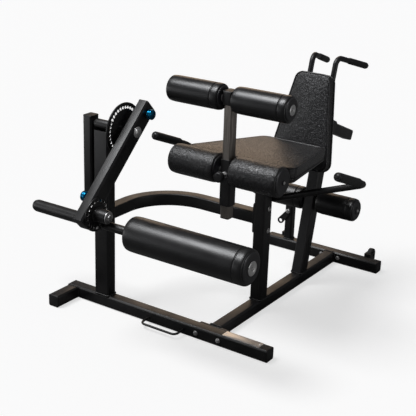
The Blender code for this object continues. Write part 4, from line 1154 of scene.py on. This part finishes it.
# %% End plugs
def end_plug(name, point, outward, size, body, lean=(0, 0, 1)):
    """A plug: a rounded box outline that domes outwards, with a shallow neck inside the tube."""
    width, height = size
    profile = [(0, -0.0035), (0.86, -0.0035), (0.86, 0.0003), (0.985, 0.0003)]
    profile += [(0.985, 0.0020), (0.93, 0.0038), (0.55, 0.0050), (0, 0.0054)]
    grid = stack(box_outline(width, height, 0.0065), np.array(profile, float), facing(point, outward, lean))
    return as_piece(name, [(grid, False)], moulded_black, body, 35)


def tube_end(node, axis, sign):
    """The middle of the end face of a straight tube that lies along an axis."""
    low, high, middle = span(node)
    middle[axis] = high[axis] if sign > 0 else low[axis]
    return middle


BASE_TUBE, THIGH_TUBE, ARM_TUBE = (0.050, 0.050), (0.038, 0.038), (0.042, 0.050)
for name, node, axis, sign, size in (
    ("front_plug_right", "front_crossbeam", 0, 1, BASE_TUBE),
    ("front_plug_left", "front_crossbeam", 0, -1, BASE_TUBE),
    ("foot_plug", "left_front_foot", 1, -1, BASE_TUBE),
    ("rear_plug_right", "rear_crossbeam", 0, 1, BASE_TUBE),
    ("rear_plug_left", "rear_crossbeam", 0, -1, BASE_TUBE),
    ("storage_plug", "storage_post", 2, 1, THIGH_TUBE),
    ("weight_arm_plug_top", "weight_arm", 2, 1, ARM_TUBE),
    ("weight_arm_plug_bottom", "weight_arm", 2, -1, ARM_TUBE),
    ("thigh_post_plug", "thigh_post", 2, -1, THIGH_TUBE),
    ("thigh_head_plug", "thigh_head", 2, 1, ARM_TUBE),
):
    lean = (0, 1, 0) if axis == 2 else (0, 0, 1)
    end_plug(name, tube_end(node, axis, sign), sign * np.eye(3)[axis], size, body_of[node], lean)

arm_lean = math.radians(46.2)
arm_down = np.array([0, -math.sin(arm_lean), -math.cos(arm_lean)])
arm_side = np.array([0, math.cos(arm_lean), -math.sin(arm_lean)])
arm_pivot = np.array([arm_middle[0], pivot[1], pivot[2]])
for word, along, reach in (("top", -arm_down, 0.116), ("bottom", arm_down, 0.402)):
    end_plug("arm_plug_" + word, arm_pivot + along * reach, along, (0.044, 0.068), "roller_arm", arm_side)

slide_drop = math.radians(22.0)
slide_back = np.array([0, math.cos(slide_drop), -math.sin(slide_drop)])
slide_up = np.array([0, math.sin(slide_drop), math.cos(slide_drop)])
slide_middle = np.array([0, 0.811, 0.665])
end_plug("slide_plug", slide_middle + slide_back * 0.240, slide_back, (0.045, 0.045), "backrest", slide_up)
print("end plugs made: 13")

# %% [markdown]
# ## Bolts
# Plates are held with hexagon bolts on washers. Each is one piece, a washer and a head stacked on the point
# where it stands, and each point comes from the face that it clamps.


# %% Bolts on washers
def hex_bolt(name, point, outward, body, flat=0.0064, washer=0.0096):
    """A washer and a hexagon head in one piece, standing on the point."""
    place = facing(point, outward)
    ring_part = [(0, 0), (washer, 0), (washer, 0.0012), (washer - 0.0006, 0.0018), (0, 0.0018)]
    head_part = [(0, 0.0015), (flat, 0.0015), (flat, 0.0058), (flat * 0.86, 0.0072), (0, 0.0072)]
    ring_grid = stack(round_outline(40), eased(ring_part, 0.0004), place)
    head_grid = stack(hexagon_outline(), eased(head_part, 0.0006), place)
    return as_piece(name, [(ring_grid, False), (head_grid, False)], zinc_plate, body, 30)


beam_front, beam_top = span("front_crossbeam")[0][1], span("front_crossbeam")[1][2]
flange_back = span("spine_flange")[1][1]
rear_front = span("rear_crossbeam")[0][1]
for side, word in SIDES:
    bolt = hex_bolt("front_bolt_" + word, (side * 0.050, beam_front, 0.025), (0, -1, 0), "frame", 0.0066)
    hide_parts("flange_bolt_" + word)
    hex_bolt("flange_nut_" + word, (side * 0.050, flange_back, 0.025), (0, 1, 0), "frame", 0.0075, 0.012)
for side, word in SIDES:
    hex_bolt("rear_bolt_" + word, (side * 0.041, rear_front, 0.027), (0, -1, 0), "frame")
post_side = span("seat_post")[1][0]
for height, word in ((0.342, "lower"), (0.432, "upper")):
    hex_bolt("link_bolt_" + word, (post_side, post_y - 0.006, height), (1, 0, 0), "frame")
plate_low, plate_high, plate_middle = span("link_plate")
for height, word in ((plate_low[2] + 0.013, "lower"), (plate_high[2] - 0.013, "upper")):
    hex_bolt("link_plate_bolt_" + word, (plate_low[0], plate_middle[1], height), (-1, 0, 0), "frame")
hook_at = (span("storage_post")[2][0], span("storage_hook")[0][1], 0.188)
hex_bolt("hook_bolt", hook_at, (0, -1, 0), "frame", 0.0070, 0.0105)
hex_bolt("pivot_bolt_left", (span("weight_arm")[0][0], 0, pivot[2]), (-1, 0, 0), "lever", 0.0120, 0.0185)
print("bolts made: 12")

# %% [markdown]
# ## Welds
# Posts are welded to the base. A weld is a small bead that follows the joint, with the ripple that a torch
# leaves: a circle carried round the joint's outline, whose size rises and falls along the way.


# %% Welds
def weld(name, ring_points, radius, body, up):
    """A bead round a closed line: its size is one plus a small sine of the way gone, a wave each 3.2 mm."""
    even, line, whole = spaced_round(ring_points, step=0.0009)
    waves = 2 * math.pi * round(whole / 0.0032) / whole
    sizes = 1.0 + 0.14 * np.sin(even * waves)
    wrapped = np.concatenate([line[-2:], line, line[:2]])
    wrapped_sizes = np.concatenate([sizes[-2:], sizes, sizes[:2]])
    grid = carry(radius * round_outline(8), wrapped, wrapped_sizes, up)[2:-2]
    return as_piece(name, [(grid, True)], powder_coat, body, 80)


def weld_round_box(name, point, outward, size, lean=(0, 0, 1)):
    """A weld round a box tube of the frame, where it meets another piece at the point."""
    outline = box_outline(size[0], size[1], 0.0065)
    ring_points = stack(outline, np.array([[1.0, 0.0012]]), facing(point, outward, lean))[0]
    return weld(name, ring_points, 0.0032, "frame", unit(outward))


for word, node, size in (
    ("upright", "lever_upright", (0.070, 0.050)),
    ("seat_post", "seat_post", (0.050, 0.058)),
    ("storage", "storage_post", THIGH_TUBE),
):
    weld_round_box("weld_" + word + "_foot", tube_end(node, 2, -1), (0, 0, 1), size, (0, 1, 0))
above_floor = np.array([0, 0, 0.002])
for word, end, outward in (
    ("front_foot", tube_end("left_front_foot", 1, 1), (0, -1, 0)),
    ("spine_front", tube_end("spine_beam", 1, -1), (0, 1, 0)),
    ("spine_rear", tube_end("spine_beam", 1, 1), (0, -1, 0)),
):
    weld_round_box("weld_" + word, end + above_floor, outward, (0.050, 0.046))
weld_round_box("weld_link_front", link_path[0], (0, 1, 0), BASE_TUBE)
weld_round_box("weld_link_rear", link_path[-1], (-1, 0, 0), BASE_TUBE)
back_lean = math.radians(12.9)
back_foot = np.array([0, 0.671 + 0.028 * math.tan(back_lean) * math.sin(back_lean), 0.0503])
weld_round_box("weld_back_foot", back_foot, (0, 0, 1), (0.050, 0.0575), (0, 1, 0))
under_sleeve = slide_middle - slide_up * 0.0293
weld_round_box("weld_slide_sleeve", under_sleeve, -slide_up, (0.050, 0.0570), slide_back)
for word, radius, height, place, bead, body in (
    ("crank_hub", 0.0262, 0.0008, hub_place, 0.0026, "roller_crank"),
    ("roller_axle", 0.0172, 0.0008, axle_place, 0.0024, "roller_crank"),
    ("weight_peg", 0.0255, 0.0072, peg_place, 0.0022, "lever"),
):
    joint_ring = stack(round_outline(64), np.array([[radius, height]]), place)[0]
    weld("weld_" + word, joint_ring, bead, body, (1, 0, 0))
print("welds made: 13")

# %% [markdown]
# ## The last small pieces
# A short rounded web ties the roller's axle to its hub. The plate on the front crossbeam is left blank, and
# two domed rivets hold it.

# %% The hub's web and the blank plate
web_middle = hub_at * [0, 1, 1] + [hub_place[0, 3] + 0.010, 0, 0] + roller_at * [0, 0.5, 0.5]
web_place = facing(web_middle, (1, 0, 0), roller_at * [0, 1, 1])
web_profile = eased([(0, -0.0055), (1.0, -0.0055), (1.0, 0.0055), (0, 0.0055)], 0.0015)
web_grid = stack(box_outline(0.034, 0.058, 0.010), web_profile, web_place)
as_piece("hub_web", [(web_grid, False)], powder_coat, "roller_crank", 35)

PLATE_X = 0.143
plate_place = facing((PLATE_X, 0.0, beam_top), (0, 0, 1), (0, 1, 0))
plate_profile = eased([(0, 0.0001), (1.0, 0.0001), (1.0, 0.0010), (0.994, 0.0014), (0, 0.0014)], 0.0003)
plate_grid = stack(box_outline(0.160, 0.038, 0.004), plate_profile, plate_place)
as_piece("blank_plate", [(plate_grid, False)], zinc_plate, "frame", 35)
for side, word in SIDES:
    rivet_place = facing((PLATE_X + side * 0.073, 0.0, beam_top + 0.0012), (0, 0, 1), (0, 1, 0))
    rivet = [(0, 0), (0.0032, 0), (0.0030, 0.0009), (0.0018, 0.0016), (0, 0.0018)]
    lathe("plate_rivet_" + word, rivet, rivet_place, zinc_plate, "frame", 0.0004, 32)
print("small pieces made: 4")
